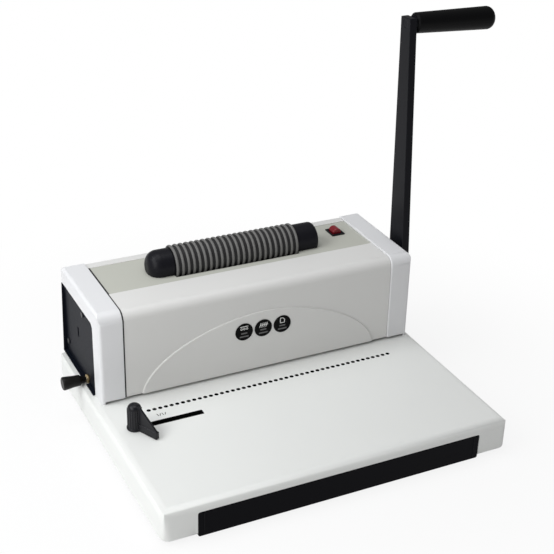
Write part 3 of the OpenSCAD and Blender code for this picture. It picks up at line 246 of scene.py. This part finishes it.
collars = bmesh.new()
for i in range(row_count):
    hole_x = (i - (row_count - 1) / 2.0) * row_pitch
    for low, low_r in ((strip_top, collar_r), (rim_foot, collar_rim_r)):
        bmesh.ops.create_cone(
            collars, cap_ends=False, segments=16, radius1=low_r, radius2=collar_r, depth=rim_top - low,
            matrix=Matrix.Translation((hole_x, row_y, (rim_top + low) / 2.0)),
        )
bmesh.ops.remove_doubles(collars, verts=collars.verts, dist=merge_gap)
bmesh.ops.recalc_face_normals(collars, faces=collars.faces[:])
bmesh.ops.solidify(collars, geom=collars.faces[:], thickness=collar_wall)
add_block(collars, Matrix.Translation((0.0, row_y, strip_top - strip_size[2] / 2.0)), strip_size)
add_piece("hole_collars", collars, "frame", "black_plastic", liner_black)

slider_low, slider_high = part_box("guide_slider")
slot_y = (slider_low.y + slider_high.y) / 2.0
slot_x0, slot_x1 = -0.17245, -0.09285
slot_half = 0.00322
slot_round = 0.0009
slot_rim = 0.0007
liner_wall = 0.00008
liner_low = deck_z - 0.0030
lid_tilt = 0.9


def new_verts(made):
    """The points among what an extrusion has made."""
    return [v for v in made["geom"] if isinstance(v, bmesh.types.BMVert)]


slot_wall = bmesh.new()
slot_place = Matrix.Translation(((slot_x0 + slot_x1) / 2.0, slot_y, liner_low))
bmesh.ops.create_grid(
    slot_wall, x_segments=1, y_segments=1, size=0.5,
    matrix=slot_place @ Matrix.Diagonal((slot_x1 - slot_x0, 2.0 * slot_half, 1.0, 1.0)),
)
bmesh.ops.bevel(
    slot_wall, geom=slot_wall.verts[:], offset=slot_round, offset_type="OFFSET", segments=5,
    affect="VERTICES", profile=0.5, material=-1,
)
raised = bmesh.ops.extrude_face_region(slot_wall, geom=slot_wall.faces[:])
bmesh.ops.translate(slot_wall, vec=(0.0, 0.0, rim_top - liner_low), verts=new_verts(raised))
lids = [f for f in slot_wall.faces if abs(f.normal.z) > lid_tilt]
bmesh.ops.delete(slot_wall, geom=lids, context="FACES_ONLY")
mouth = [e for e in slot_wall.edges if min(v.co.z for v in e.verts) > deck_z]
turned = bmesh.ops.extrude_edge_only(slot_wall, edges=mouth)
rim_verts = new_verts(turned)
rim_grow = (1.0 + 2.0 * slot_rim / (slot_x1 - slot_x0), 1.0 + slot_rim / slot_half, 1.0)
bmesh.ops.scale(slot_wall, vec=rim_grow, space=slot_place.inverted(), verts=rim_verts)
bmesh.ops.translate(slot_wall, vec=(0.0, 0.0, rim_foot - rim_top), verts=rim_verts)
bmesh.ops.recalc_face_normals(slot_wall, faces=slot_wall.faces[:])
bmesh.ops.solidify(slot_wall, geom=slot_wall.faces[:], thickness=liner_wall)
add_piece("slot_liner", slot_wall, "frame", "black_plastic", liner_black)

# Setting marks: a few short grey strokes printed on the deck between the row
# and the slot, for setting the edge guide.
mark_ink = finish("mark_ink", (0.10, 0.10, 0.10), rough=0.60, drift=0.20, grain=2500.0)
mark_y = -0.0062
mark_size = (0.0009, 0.0042, 0.00008)
mark_leans = ((-0.1372, 12.0), (-0.1346, -20.0), (-0.1318, 12.0), (-0.1290, -20.0))
marks = bmesh.new()
for x, lean in mark_leans:
    mark_place = Matrix.Translation((x, mark_y, deck_z)) @ Matrix.Rotation(math.radians(lean), 4, "Z")
    add_block(marks, mark_place, mark_size)
add_piece("setting_marks", marks, "frame", "black_plastic", mark_ink)

# Bottom pan: a flat galvanised sheet screwed under the base, on four black
# rubber feet. The screws are plated pan heads with cross recesses.
pan_steel = finish("pan_steel", (0.34, 0.35, 0.36), rough=0.45, drift=0.10, grain=160.0, depth=0.03,
                   metal=1.0)
add_piece("bottom_pan", eased("base_pan", width=0.0003), "frame", "dark_steel", pan_steel, "base_pan")

foot_rubber = finish("foot_rubber", (0.016, 0.016, 0.017), rough=0.75, drift=0.15, grain=1400.0, depth=0.08,
                     shine=0.2)
feet = eased("rubber_feet", width=0.0012, steps=3)
add_piece("feet", feet, "frame", "rubber_black", foot_rubber, "rubber_feet")

screw_steel = finish("screw_steel", (0.62, 0.63, 0.65), rough=0.30, drift=0.06, grain=500.0, depth=0.02,
                     metal=1.0)


def crossed(node, out, size=0.0036, depth=0.0008, width=0.0004):
    """A copy of a CAD node's screws with eased heads and a cross recess sunk in each."""
    arm_share = 0.12
    faces_out = 0.99
    shape = eased(node, width, steps=3)
    out = Vector(out)
    along = out.orthogonal().normalized()
    across = out.cross(along)
    half, arm = size / 2.0, size * arm_share
    quarter = ((half, -arm), (half, arm), (arm, arm))
    cross = []
    for turn in range(4):
        spin = Matrix.Rotation(math.radians(90.0 * turn), 2)
        for a, b in quarter:
            cross.append(spin @ Vector((a, b)))
    shape.normal_update()
    reach = max(v.co.dot(out) for v in shape.verts)
    tops = [f for f in shape.faces
            if f.normal.dot(out) > faces_out and f.calc_center_median().dot(out) > reach - touch]
    for top in tops:
        middle = top.calc_center_median()
        ring = top.edges[:]
        bmesh.ops.delete(shape, geom=[top], context="FACES_ONLY")
        rim = [shape.verts.new(middle + along * p.x + across * p.y) for p in cross]
        floor = [shape.verts.new(v.co - out * depth) for v in rim]
        lip = []
        for i in range(len(rim)):
            j = (i + 1) % len(rim)
            shape.faces.new((rim[i], rim[j], floor[j], floor[i]))
            lip.append(shape.edges.get((rim[i], rim[j])))
        shape.faces.new(floor)
        bmesh.ops.triangle_fill(shape, use_beauty=True, edges=ring + lip)
    bmesh.ops.recalc_face_normals(shape, faces=shape.faces[:])
    return shape


pan_screw_shape = crossed("pan_screws", out=(0.0, 0.0, -1.0))
add_piece("pan_screw_set", pan_screw_shape, "frame", "steel", screw_steel, "pan_screws")

# Chip drawer: a black moulded strip closes the front of a shallow tray that
# slides on two steel runners. A thin rib stands near each end of the strip.
strip_black = finish("strip_black", (0.0020, 0.0020, 0.0036), rough=0.45, drift=0.15, grain=1500.0,
                     depth=0.06, worn=0.25, worn_colour=(0.03, 0.03, 0.033), shine=0.05)
drawer_low, drawer_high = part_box("drawer_front")
drawer_h = drawer_high.z - drawer_low.z
rib_inset = 0.0062
rib_short = 0.003
rib_forward = 0.0001
rib_size = (0.0008, 0.0006, drawer_h - rib_short)
strip = eased("drawer_front", width=0.0007, steps=3)
for side in (-1.0, 1.0):
    rib_place = Matrix.Translation((
        side * (drawer_high.x - rib_inset), drawer_low.y - rib_forward, drawer_low.z + drawer_h / 2.0,
    ))
    rib = add_block(strip, rib_place, rib_size)
    ease(strip, list({e for v in rib["verts"] for e in v.link_edges}), width=0.0002)
add_piece("drawer_strip", strip, "drawer", "black_plastic", strip_black, "drawer_front")

tray_black = finish("tray_black", (0.012, 0.012, 0.013), rough=0.55, drift=0.12, depth=0.06, shine=0.25)
tray = eased("drawer_tray", width=0.0005)
add_piece("chip_tray", tray, "drawer", "black_plastic", tray_black, "drawer_tray")
tray_walls = eased("drawer_sides", width=0.0003)
add_piece("chip_tray_walls", tray_walls, "drawer", "black_plastic", tray_black, "drawer_sides")

bright_steel = finish("bright_steel", (0.60, 0.61, 0.63), rough=0.28, drift=0.06, grain=40.0, depth=0.02,
                      metal=1.0, brushed=(1.0, 30.0, 30.0))


def dress(material, *names):
    """Gives a finish to CAD solids that are shown as they are."""
    for name in names:
        nodes[name].material_slots[0].material = material


dress(bright_steel, "drawer_runners")

# Side plates: pressed steel sheets that carry the shafts, painted a dark blue
# grey. They are screwed to the deck and show inside the frames of the end caps.
plate_paint = finish("plate_paint", (0.0050, 0.0064, 0.0115), rough=0.50, drift=0.15, grain=700.0, depth=0.06,
                     worn=0.30, worn_colour=(0.05, 0.055, 0.07), shine=0.08)
for side in ("left", "right"):
    plate = eased(f"{side}_side_plate", width=0.0003)
    add_piece(f"{side}_plate", plate, "frame", "plate_blue", plate_paint, f"{side}_side_plate")
black_screw = finish("black_screw", (0.016, 0.016, 0.018), rough=0.40, drift=0.10, grain=600.0, depth=0.03,
                     worn=0.3, worn_colour=(0.08, 0.08, 0.09), shine=0.3)
tie_screw_shape = eased("frame_screws", width=0.0005, steps=3)
add_piece("tie_screws", tie_screw_shape, "frame", "dark_steel", black_screw, "frame_screws")
dress(bright_steel, "plate_screws", "tie_bars", "beam_guides")

# Punch unit inside the tower: a die and a guide plate of ground steel, and pins on
# a dark steel beam, which the lever's shaft moves by pinions and racks. The shaft
# turns in bronze bushes.
ground_steel = finish("ground_steel", (0.55, 0.56, 0.58), rough=0.24, drift=0.05, grain=60.0, depth=0.015,
                      metal=1.0, brushed=(1.0, 40.0, 40.0))
dress(ground_steel, "die_plate", "throat_spacers", "pin_guide_plate", "punch_pins", "beam_racks",
      "drive_pinions", "punch_shaft")
dark_steel = finish("dark_steel", (0.20, 0.205, 0.22), rough=0.40, drift=0.10, grain=300.0, depth=0.03,
                    metal=1.0)
dress(dark_steel, "punch_beam", "rack_screws")
bush_bronze = finish("bush_bronze", (0.55, 0.42, 0.22), rough=0.40, drift=0.10, grain=400.0, depth=0.03,
                     metal=1.0)
dress(bush_bronze, "shaft_bushes")

# Return springs: two coils of plain steel wire, held by plugs on a tie bar above
# and on the beam's lugs below. The pair here is set in place at rest and does not
# stretch with the beam.
spring_wire = finish("spring_wire", (0.50, 0.51, 0.53), rough=0.30, drift=0.06, grain=300.0, depth=0.02,
                     metal=1.0)
springs = solid_of("return_springs")
spring_pair = add_piece("return_spring_pair", springs, None, "steel", spring_wire, "return_springs")
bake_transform(spring_pair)
dress(ground_steel, "spring_lugs")

# Margin stop: an eccentric steel rod across the throat, in two bronze bushes,
# with a black flared knob pressed on its left end.
knob_black = finish("knob_black", (0.006, 0.0055, 0.005), rough=0.38, drift=0.12, grain=1200.0, depth=0.05,
                    worn=0.25, worn_colour=(0.05, 0.05, 0.055), shine=0.2)
knob = eased("margin_knob", width=0.0004)
add_piece("knob", knob, "margin_stop", "black_plastic", knob_black, "margin_knob")
knob_bushes = eased("margin_bushes", width=0.0003)
add_piece("knob_bushes", knob_bushes, "frame", "bronze", bush_bronze, "margin_bushes")
dress(ground_steel, "margin_rod")

# Front cover: a moulded off-white shell between the end caps, with a low raised
# arch whose rim is rounded. It ends above the deck and leaves the paper's throat.
cover_white = finish("cover_white", (0.75, 0.746, 0.730), rough=0.50, drift=0.012, grain=1300.0)
cover_low, cover_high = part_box("front_cover")
arch_rim_r = 0.0012
cover_edge_r = 0.0004
cover_edge_least = 40.0


def on_arch_rim(edge):
    """The foremost edges of the cover, apart from those along its foot."""
    foremost = max(v.co.y for v in edge.verts) < cover_low.y + touch
    return foremost and max(v.co.z for v in edge.verts) > cover_low.z + touch


cover = solid_of("front_cover")
ease_where(cover, on_arch_rim, arch_rim_r, steps=3)
ease(cover, sharp_edges(cover, cover_edge_least), cover_edge_r)
add_piece("front_shell", cover, "frame", "cover_white", cover_white, "front_cover")

# Round badges: three thin black discs stuck on the arch, each printed in white
# with a plain sign above two grey bars: punched holes, a coil and a folded page.
badge_black = finish("badge_black", (0.003, 0.003, 0.003), rough=0.45, drift=0.10, depth=0.02, shine=0.06)
badge_low, badge_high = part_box("badge_discs")
badge_z = (badge_low.z + badge_high.z) / 2.0
badge_r = (badge_high.z - badge_low.z) / 2.0
badge_pitch = badge_high.x - badge_r
badges = eased("badge_discs", width=0.0002)
add_piece("badge_set", badges, "frame", "black_plastic", badge_black, "badge_discs")
ink_white = finish("ink_white", (0.86, 0.86, 0.84), rough=0.55, drift=0.06, grain=1800.0, depth=0.02)
ink_grey = finish("ink_grey", (0.12, 0.12, 0.12), rough=0.55, drift=0.10, grain=1800.0, depth=0.02)
ink_t = 0.00012
facing = Matrix.Rotation(math.radians(90.0), 4, "X")
signs = bmesh.new()
bars = bmesh.new()


def print_bar(shape, x, z, width, height, lean=0.0):
    """One printed stroke on the face of a badge."""
    place = Matrix.Translation((x, badge_low.y, badge_z + z)) @ Matrix.Rotation(math.radians(lean), 4, "Y")
    add_block(shape, place, (width, ink_t, height))


def print_ring(shape, x, z, radius, stroke):
    """One printed ring on the face of a badge."""
    place = Matrix.Translation((x, badge_low.y, badge_z + z)) @ facing
    ring = bmesh.ops.create_cone(shape, cap_ends=False, segments=20, radius1=radius, radius2=radius,
                                 depth=ink_t, matrix=place)
    walls = list({f for v in ring["verts"] for f in v.link_faces})
    bmesh.ops.solidify(shape, geom=walls, thickness=stroke)


sign_z = 0.0038
hole_pitch = 0.0032
sheet_edge_z = 0.0066
for step in (-1, 0, 1):
    print_ring(signs, -badge_pitch + step * hole_pitch, sign_z, radius=0.0013, stroke=0.0006)
print_bar(signs, -badge_pitch, sheet_edge_z, width=0.0094, height=0.0008)

turn_pitch = 0.0024
link_shift = 0.0009
for step in (-1.5, -0.5, 0.5, 1.5):
    turn_x = step * turn_pitch
    print_bar(signs, turn_x, sign_z, width=0.0008, height=0.0056, lean=18.0)
    print_bar(signs, turn_x + link_shift, sign_z, width=0.0022, height=0.0007, lean=-35.0)

page_z = 0.0046
page_w, page_h = 0.0050, 0.0058
page_line = 0.0008
page_fold = 0.0010
page_sides = (
    (-page_w / 2.0, 0.0, page_line, page_h),
    (page_w / 2.0, -page_fold, page_line, page_h - 2.0 * page_fold),
    (0.0, -page_h / 2.0, page_w + page_line, page_line),
    (-page_fold, page_h / 2.0, page_w - 2.0 * page_fold + page_line, page_line),
)
for x, z, width, height in page_sides:
    print_bar(signs, badge_pitch + x, page_z + z, width, height)
print_bar(signs, badge_pitch + page_w / 2.0 - page_fold, page_z + page_h / 2.0 - page_fold,
          width=0.0030, height=page_line, lean=45.0)

bar_rows = ((-0.0017, 0.0072), (-0.0056, 0.0104))
for x in (-badge_pitch, 0.0, badge_pitch):
    for z, width in bar_rows:
        print_bar(bars, x, z, width, height=0.0016)
add_piece("badge_signs", signs, "frame", "cap_white", ink_white)
add_piece("badge_bars", bars, "frame", "cap_white", ink_grey)

# End caps: two white mouldings that close the tower's sides, a little proud
# of the covers, with a frame round each side plate.
cap_white = finish("cap_white", (0.785, 0.788, 0.800), rough=0.42, drift=0.010, grain=1200.0, depth=0.04)
seam_gap = 0.0003
seam_x = cover_high.x + seam_gap
seam_tilt = 0.3
seam_edge_r = 0.0013
cap_edge_r = 0.0004


def on_right_seam(edge):
    """The outer edge of the right cap where it meets the covers."""
    if max(abs(v.co.x - seam_x) for v in edge.verts) > touch:
        return False
    return any(f.normal.z - f.normal.y > seam_tilt and abs(f.normal.x) < seam_tilt for f in edge.link_faces)


for side in ("left", "right"):
    cap = solid_of(f"{side}_end_cap")
    ease_where(cap, on_right_seam, seam_edge_r, steps=3)
    ease(cap, sharp_edges(cap), cap_edge_r)
    add_piece(f"{side}_cap", cap, "frame", "cap_white", cap_white, f"{side}_end_cap")

# Grey top panel, let in between the covers, and the rear cover with its back
# wall. Plain mouldings with a fine spark texture, the cover held by screws.
panel_grey = finish("panel_grey", (0.52, 0.525, 0.47), rough=0.60, drift=0.03, grain=1500.0, depth=0.08)
panel = eased("top_panel", width=0.0003)
add_piece("grey_panel", panel, "frame", "olive_grey", panel_grey, "top_panel")
rear = eased("rear_cover", width=0.0004)
add_piece("rear_shell", rear, "frame", "cover_white", cover_white, "rear_cover")
rear_screw_shape = crossed("cover_screws", out=(0.0, 1.0, 0.0), size=0.0034, depth=0.0005, width=0.0003)
add_piece("rear_screw_set", rear_screw_shape, "frame", "steel", screw_steel, "cover_screws")

# Seam shadows: thin dark strips laid on the left ends of the front cover and
# the grey panel, against the left cap, as painted shadow for the left seams.
# Painted shadow: this near-black finish is the shade in the left seams, laid on as thin strips.
seam_shade_black = finish("seam_shade_black", (0.045, 0.045, 0.046), rough=0.70, drift=0.12, grain=1400.0, shine=0.2)
shade_strip_proud = 0.00006
for name, node, width in (("cover_seam_shade", "front_cover", 0.0015), ("panel_seam_shade", "top_panel", 0.0025)):
    shade_strip = solid_of(node)
    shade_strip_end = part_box(node)[0].x + width
    bmesh.ops.bisect_plane(
        shade_strip, geom=shade_strip.verts[:] + shade_strip.edges[:] + shade_strip.faces[:], dist=1e-7,
        plane_co=(shade_strip_end, 0.0, 0.0), plane_no=(1.0, 0.0, 0.0), clear_outer=True,
    )
    bmesh.ops.holes_fill(shade_strip, edges=[e for e in shade_strip.edges if e.is_boundary])
    bmesh.ops.translate(shade_strip, vec=(0.0, -shade_strip_proud, shade_strip_proud), verts=shade_strip.verts[:])
    add_piece(name, shade_strip, "frame", "rubber_black", seam_shade_black)

# Power inlet: a black socket with three blades in its mouth, pushed into the back
# wall. Like the other black mouldings, it has a fine satin grain.
black_plastic = finish("black_plastic", (0.0055, 0.0055, 0.0085), rough=0.42, drift=0.12, grain=1500.0,
                       depth=0.06, worn=0.25, worn_colour=(0.04, 0.04, 0.044), shine=0.18)
inlet = eased("power_inlet", width=0.0003)
add_piece("inlet_socket", inlet, "frame", "black_plastic", black_plastic, "power_inlet")

# Coil roller: a grey rubber sleeve with round ribs, on a moulded core between two
# black supports. Painted shade darkens the colour towards the floor of each groove,
# so the rib tops look pale. A motor in the tower turns it by a belt.
sleeve_low, sleeve_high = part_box("roller_sleeve")
roller_y = (sleeve_low.y + sleeve_high.y) / 2.0
roller_z = (sleeve_low.z + sleeve_high.z) / 2.0
groove_r = 0.0181
rib_top_r = 0.0192
# Painted shade: the dark colour at the groove floors, fading to the rubber's own colour at the rib tops.
groove_shade = (0.012, 0.012, 0.013, 1.0)
rib_rubber = finish("rib_rubber", (0.165, 0.162, 0.158), rough=0.62, drift=0.08, grain=1300.0, depth=0.07,
                    shine=0.3)
tree = rib_rubber.node_tree
shader = tree.nodes["Principled BSDF"]
rib_tint = shader.inputs["Base Color"].links[0].from_socket
spot = tree.nodes.new("ShaderNodeTexCoord")
across = tree.nodes.new("ShaderNodeVectorMath")
across.operation = "MULTIPLY_ADD"
across.inputs[1].default_value = (0.0, 1.0, 1.0)
across.inputs[2].default_value = (0.0, -roller_y, -roller_z)
tree.links.new(spot.outputs["Object"], across.inputs[0])
reach = tree.nodes.new("ShaderNodeVectorMath")
reach.operation = "LENGTH"
tree.links.new(across.outputs["Vector"], reach.inputs[0])
height = tree.nodes.new("ShaderNodeMapRange")
height.inputs["From Min"].default_value = groove_r
height.inputs["From Max"].default_value = rib_top_r
tree.links.new(reach.outputs["Value"], height.inputs["Value"])
# The radius sets the painted shade: full at the groove floor, none at the rib top.
groove_shade_mix = tree.nodes.new("ShaderNodeMix")
groove_shade_mix.data_type = "RGBA"
groove_shade_mix.inputs["A"].default_value = groove_shade
tree.links.new(height.outputs["Result"], groove_shade_mix.inputs["Factor"])
tree.links.new(rib_tint, groove_shade_mix.inputs["B"])
tree.links.new(groove_shade_mix.outputs["Result"], shader.inputs["Base Color"])
sleeve = solid_of("roller_sleeve")
add_piece("ribbed_sleeve", sleeve, "roller", "rubber_grey", rib_rubber, "roller_sleeve")

for side in ("left", "right"):
    support = f"roller_support_{side}"
    block = eased(support, width=0.0006)
    add_piece(f"roller_{side}_block", block, "frame", "black_plastic", black_plastic, support)
belt_rubber = finish("belt_rubber", (0.016, 0.016, 0.017), rough=0.80, drift=0.12, grain=1200.0, depth=0.08,
                     shine=0.2)
dress(tray_black, "roller_core", "roller_pulley", "motor_pulley")
dress(ground_steel, "roller_shaft")
dress(bush_bronze, "roller_bearings")
dress(belt_rubber, "drive_belt")
dress(bright_steel, "motor_body", "motor_bracket")

# Rocker switch: a black bezel let into the grey panel and a red glossy rocker.
# Both are clipped in from above.
bezel = eased("switch_housing", width=0.0004)
add_piece("switch_bezel", bezel, "frame", "black_plastic", black_plastic, "switch_housing")
rocker_red = finish("rocker_red", (0.22, 0.008, 0.016), rough=0.22, drift=0.06, grain=500.0, depth=0.02)
rocker = eased("switch_rocker", width=0.0014, steps=4)
add_piece("rocker", rocker, "rocker", "red_plastic", rocker_red, "switch_rocker")

# Lever: a flat steel bar painted black, clamped on the punch shaft by a bolt,
# with a black moulded grip on a stud at its top.
lever_paint = finish("lever_paint", (0.0034, 0.0036, 0.0062), rough=0.40, drift=0.12, grain=800.0, depth=0.05,
                     worn=0.35, worn_colour=(0.05, 0.052, 0.058), shine=0.10)
lever_bar = eased("lever_arm", width=0.0007, steps=3)
add_piece("lever_bar", lever_bar, "lever", "black_paint", lever_paint, "lever_arm")
dress(lever_paint, "grip_stud")
grip_black = finish("grip_black", (0.0032, 0.0032, 0.0036), rough=0.48, drift=0.12, grain=1500.0, depth=0.06,
                    worn=0.20, worn_colour=(0.03, 0.03, 0.033), shine=0.08)
grip = eased("lever_grip", width=0.0004)
add_piece("grip", grip, "lever", "black_plastic", grip_black, "lever_grip")
lever_bolt = eased("lever_screw", width=0.0006, steps=3)
add_piece("lever_bolt", lever_bolt, "lever", "steel", screw_steel, "lever_screw")

# Edge guide: one black moulding on a steel slider, with a domed post, ribbed to
# hold it by, and a fin that the sheets lie against.
guide_black = finish("guide_black", (0.0055, 0.0055, 0.0082), rough=0.34, drift=0.12, grain=1500.0,
                     depth=0.06, worn=0.30, worn_colour=(0.05, 0.05, 0.056), shine=0.30)
guide_low, guide_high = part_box("edge_guide")
guide_x = (slider_low.x + slider_high.x) / 2.0
post_r = 0.0071
post_ribs = 18
post_rib_r = 0.0006
rib_z0 = guide_low.z + 0.0026
rib_z1 = guide_high.z - 0.0050
fin_turn = 26.0
fin_clear = 22.0
guide = eased("edge_guide", width=0.0006, steps=3)
for i in range(post_ribs):
    bearing = 360.0 * (i + 0.5) / post_ribs
    if abs((bearing - fin_turn + 180.0) % 360.0 - 180.0) < fin_clear:
        continue
    rib_x = guide_x + post_r * math.cos(math.radians(bearing))
    rib_y = slot_y + post_r * math.sin(math.radians(bearing))
    bmesh.ops.create_cone(
        guide, cap_ends=True, segments=8, radius1=post_rib_r, radius2=post_rib_r, depth=rib_z1 - rib_z0,
        matrix=Matrix.Translation((rib_x, rib_y, (rib_z0 + rib_z1) / 2.0)),
    )
add_piece("guide_fin", guide, "guide", "black_plastic", guide_black, "edge_guide")
dress(ground_steel, "guide_slider")

# Studio: a white floor, broad soft lamps on the left and above, and an even white
# surround. The camera stands where the photograph was taken.
white = (1.0, 1.0, 1.0, 1.0)
shadow_r, open_floor_r = 0.20, 0.55
shadow_glow = 0.86
surround_light = 0.30


def either_ray(tree, one, other):
    """A socket that is 1 for two kinds of ray and 0 for the rest."""
    rays = tree.nodes.new("ShaderNodeLightPath")
    seen = tree.nodes.new("ShaderNodeMath")
    seen.operation = "MAXIMUM"
    tree.links.new(rays.outputs[one], seen.inputs[0])
    tree.links.new(rays.outputs[other], seen.inputs[1])
    return seen.outputs["Value"]


floor_shape = bmesh.new()
bmesh.ops.create_grid(floor_shape, x_segments=1, y_segments=1, size=6.0)
floor_mesh = bpy.data.meshes.new("floor")
floor_shape.to_mesh(floor_mesh)
floor_shape.free()
floor = bpy.data.objects.new("floor", floor_mesh)
bpy.context.scene.collection.objects.link(floor)
floor_white = bpy.data.materials.new("floor_white")
floor_white.use_nodes = True
tree = floor_white.node_tree
matt = tree.nodes["Principled BSDF"]
matt.inputs["Base Color"].default_value = (0.86, 0.86, 0.86, 1.0)
matt.inputs["Roughness"].default_value = 0.9
glow = tree.nodes.new("ShaderNodeEmission")
glow.inputs["Color"].default_value = white
spread = tree.nodes.new("ShaderNodeVectorMath")
spread.operation = "LENGTH"
tree.links.new(tree.nodes.new("ShaderNodeTexCoord").outputs["Object"], spread.inputs[0])
fade = tree.nodes.new("ShaderNodeMapRange")
fade.interpolation_type = "SMOOTHSTEP"
fade.inputs["From Min"].default_value = shadow_r
fade.inputs["From Max"].default_value = open_floor_r
fade.inputs["To Min"].default_value = shadow_glow
fade.inputs["To Max"].default_value = 1.0
tree.links.new(spread.outputs["Value"], fade.inputs["Value"])
shown = tree.nodes.new("ShaderNodeMath")
shown.operation = "MULTIPLY"
tree.links.new(fade.outputs["Result"], shown.inputs[0])
tree.links.new(either_ray(tree, "Is Camera Ray", "Is Glossy Ray"), shown.inputs[1])
both = tree.nodes.new("ShaderNodeMixShader")
tree.links.new(shown.outputs["Value"], both.inputs["Fac"])
tree.links.new(matt.outputs["BSDF"], both.inputs[1])
tree.links.new(glow.outputs["Emission"], both.inputs[2])
tree.links.new(both.outputs["Shader"], tree.nodes["Material Output"].inputs["Surface"])
floor_mesh.materials.append(floor_white)

world = bpy.data.worlds.new("studio")
bpy.context.scene.world = world
world.use_nodes = True
tree = world.node_tree
sky = tree.nodes["Background"]
sky.inputs["Color"].default_value = white
level = tree.nodes.new("ShaderNodeMapRange")
level.inputs["To Min"].default_value = surround_light
level.inputs["To Max"].default_value = 1.0
tree.links.new(either_ray(tree, "Is Camera Ray", "Is Transmission Ray"), level.inputs["Value"])
tree.links.new(level.outputs["Result"], sky.inputs["Strength"])

lamp_aim = Vector((0.0, 0.0, 0.1))


def soft_lamp(name, place, size, watts, colour):
    """A round soft lamp, turned to the machine and out of the camera's sight."""
    data = bpy.data.lights.new(name, "AREA")
    data.shape = "DISK"
    data.size = size
    data.energy = watts
    data.color = colour
    lamp = bpy.data.objects.new(name, data)
    lamp.location = place
    lamp.rotation_euler = (lamp_aim - Vector(place)).to_track_quat("-Z", "Y").to_euler()
    lamp.visible_camera = False
    bpy.context.scene.collection.objects.link(lamp)


soft_lamp("high_left_lamp", place=(-0.9, 0.2, 1.0), size=0.7, watts=5.9, colour=(0.96, 0.98, 1.0))
soft_lamp("low_left_lamp", place=(-0.8, -0.3, 0.5), size=0.5, watts=2.6, colour=(1.0, 1.0, 0.99))
soft_lamp("top_lamp", place=(-0.1, 0.1, 1.4), size=0.9, watts=5.6, colour=(0.97, 0.98, 1.0))

camera_place = Vector((-0.501434, -1.004965, 0.744737))
camera_tilt, camera_roll, camera_heading = 62.8023, -1.2742, -25.8076
camera_turn = Euler([math.radians(a) for a in (camera_tilt, camera_roll, camera_heading)])
camera_data = bpy.data.cameras.new("camera")
camera_data.sensor_fit = "HORIZONTAL"
camera_data.sensor_width = 36.0
camera_data.lens = 79.71
camera_data.clip_end = 50.0
camera = bpy.data.objects.new("camera", camera_data)
camera.matrix_world = Matrix.LocRotScale(camera_place, camera_turn, None)
bpy.context.scene.collection.objects.link(camera)
bpy.context.scene.camera = camera
bpy.context.scene.view_settings.view_transform = "Standard"
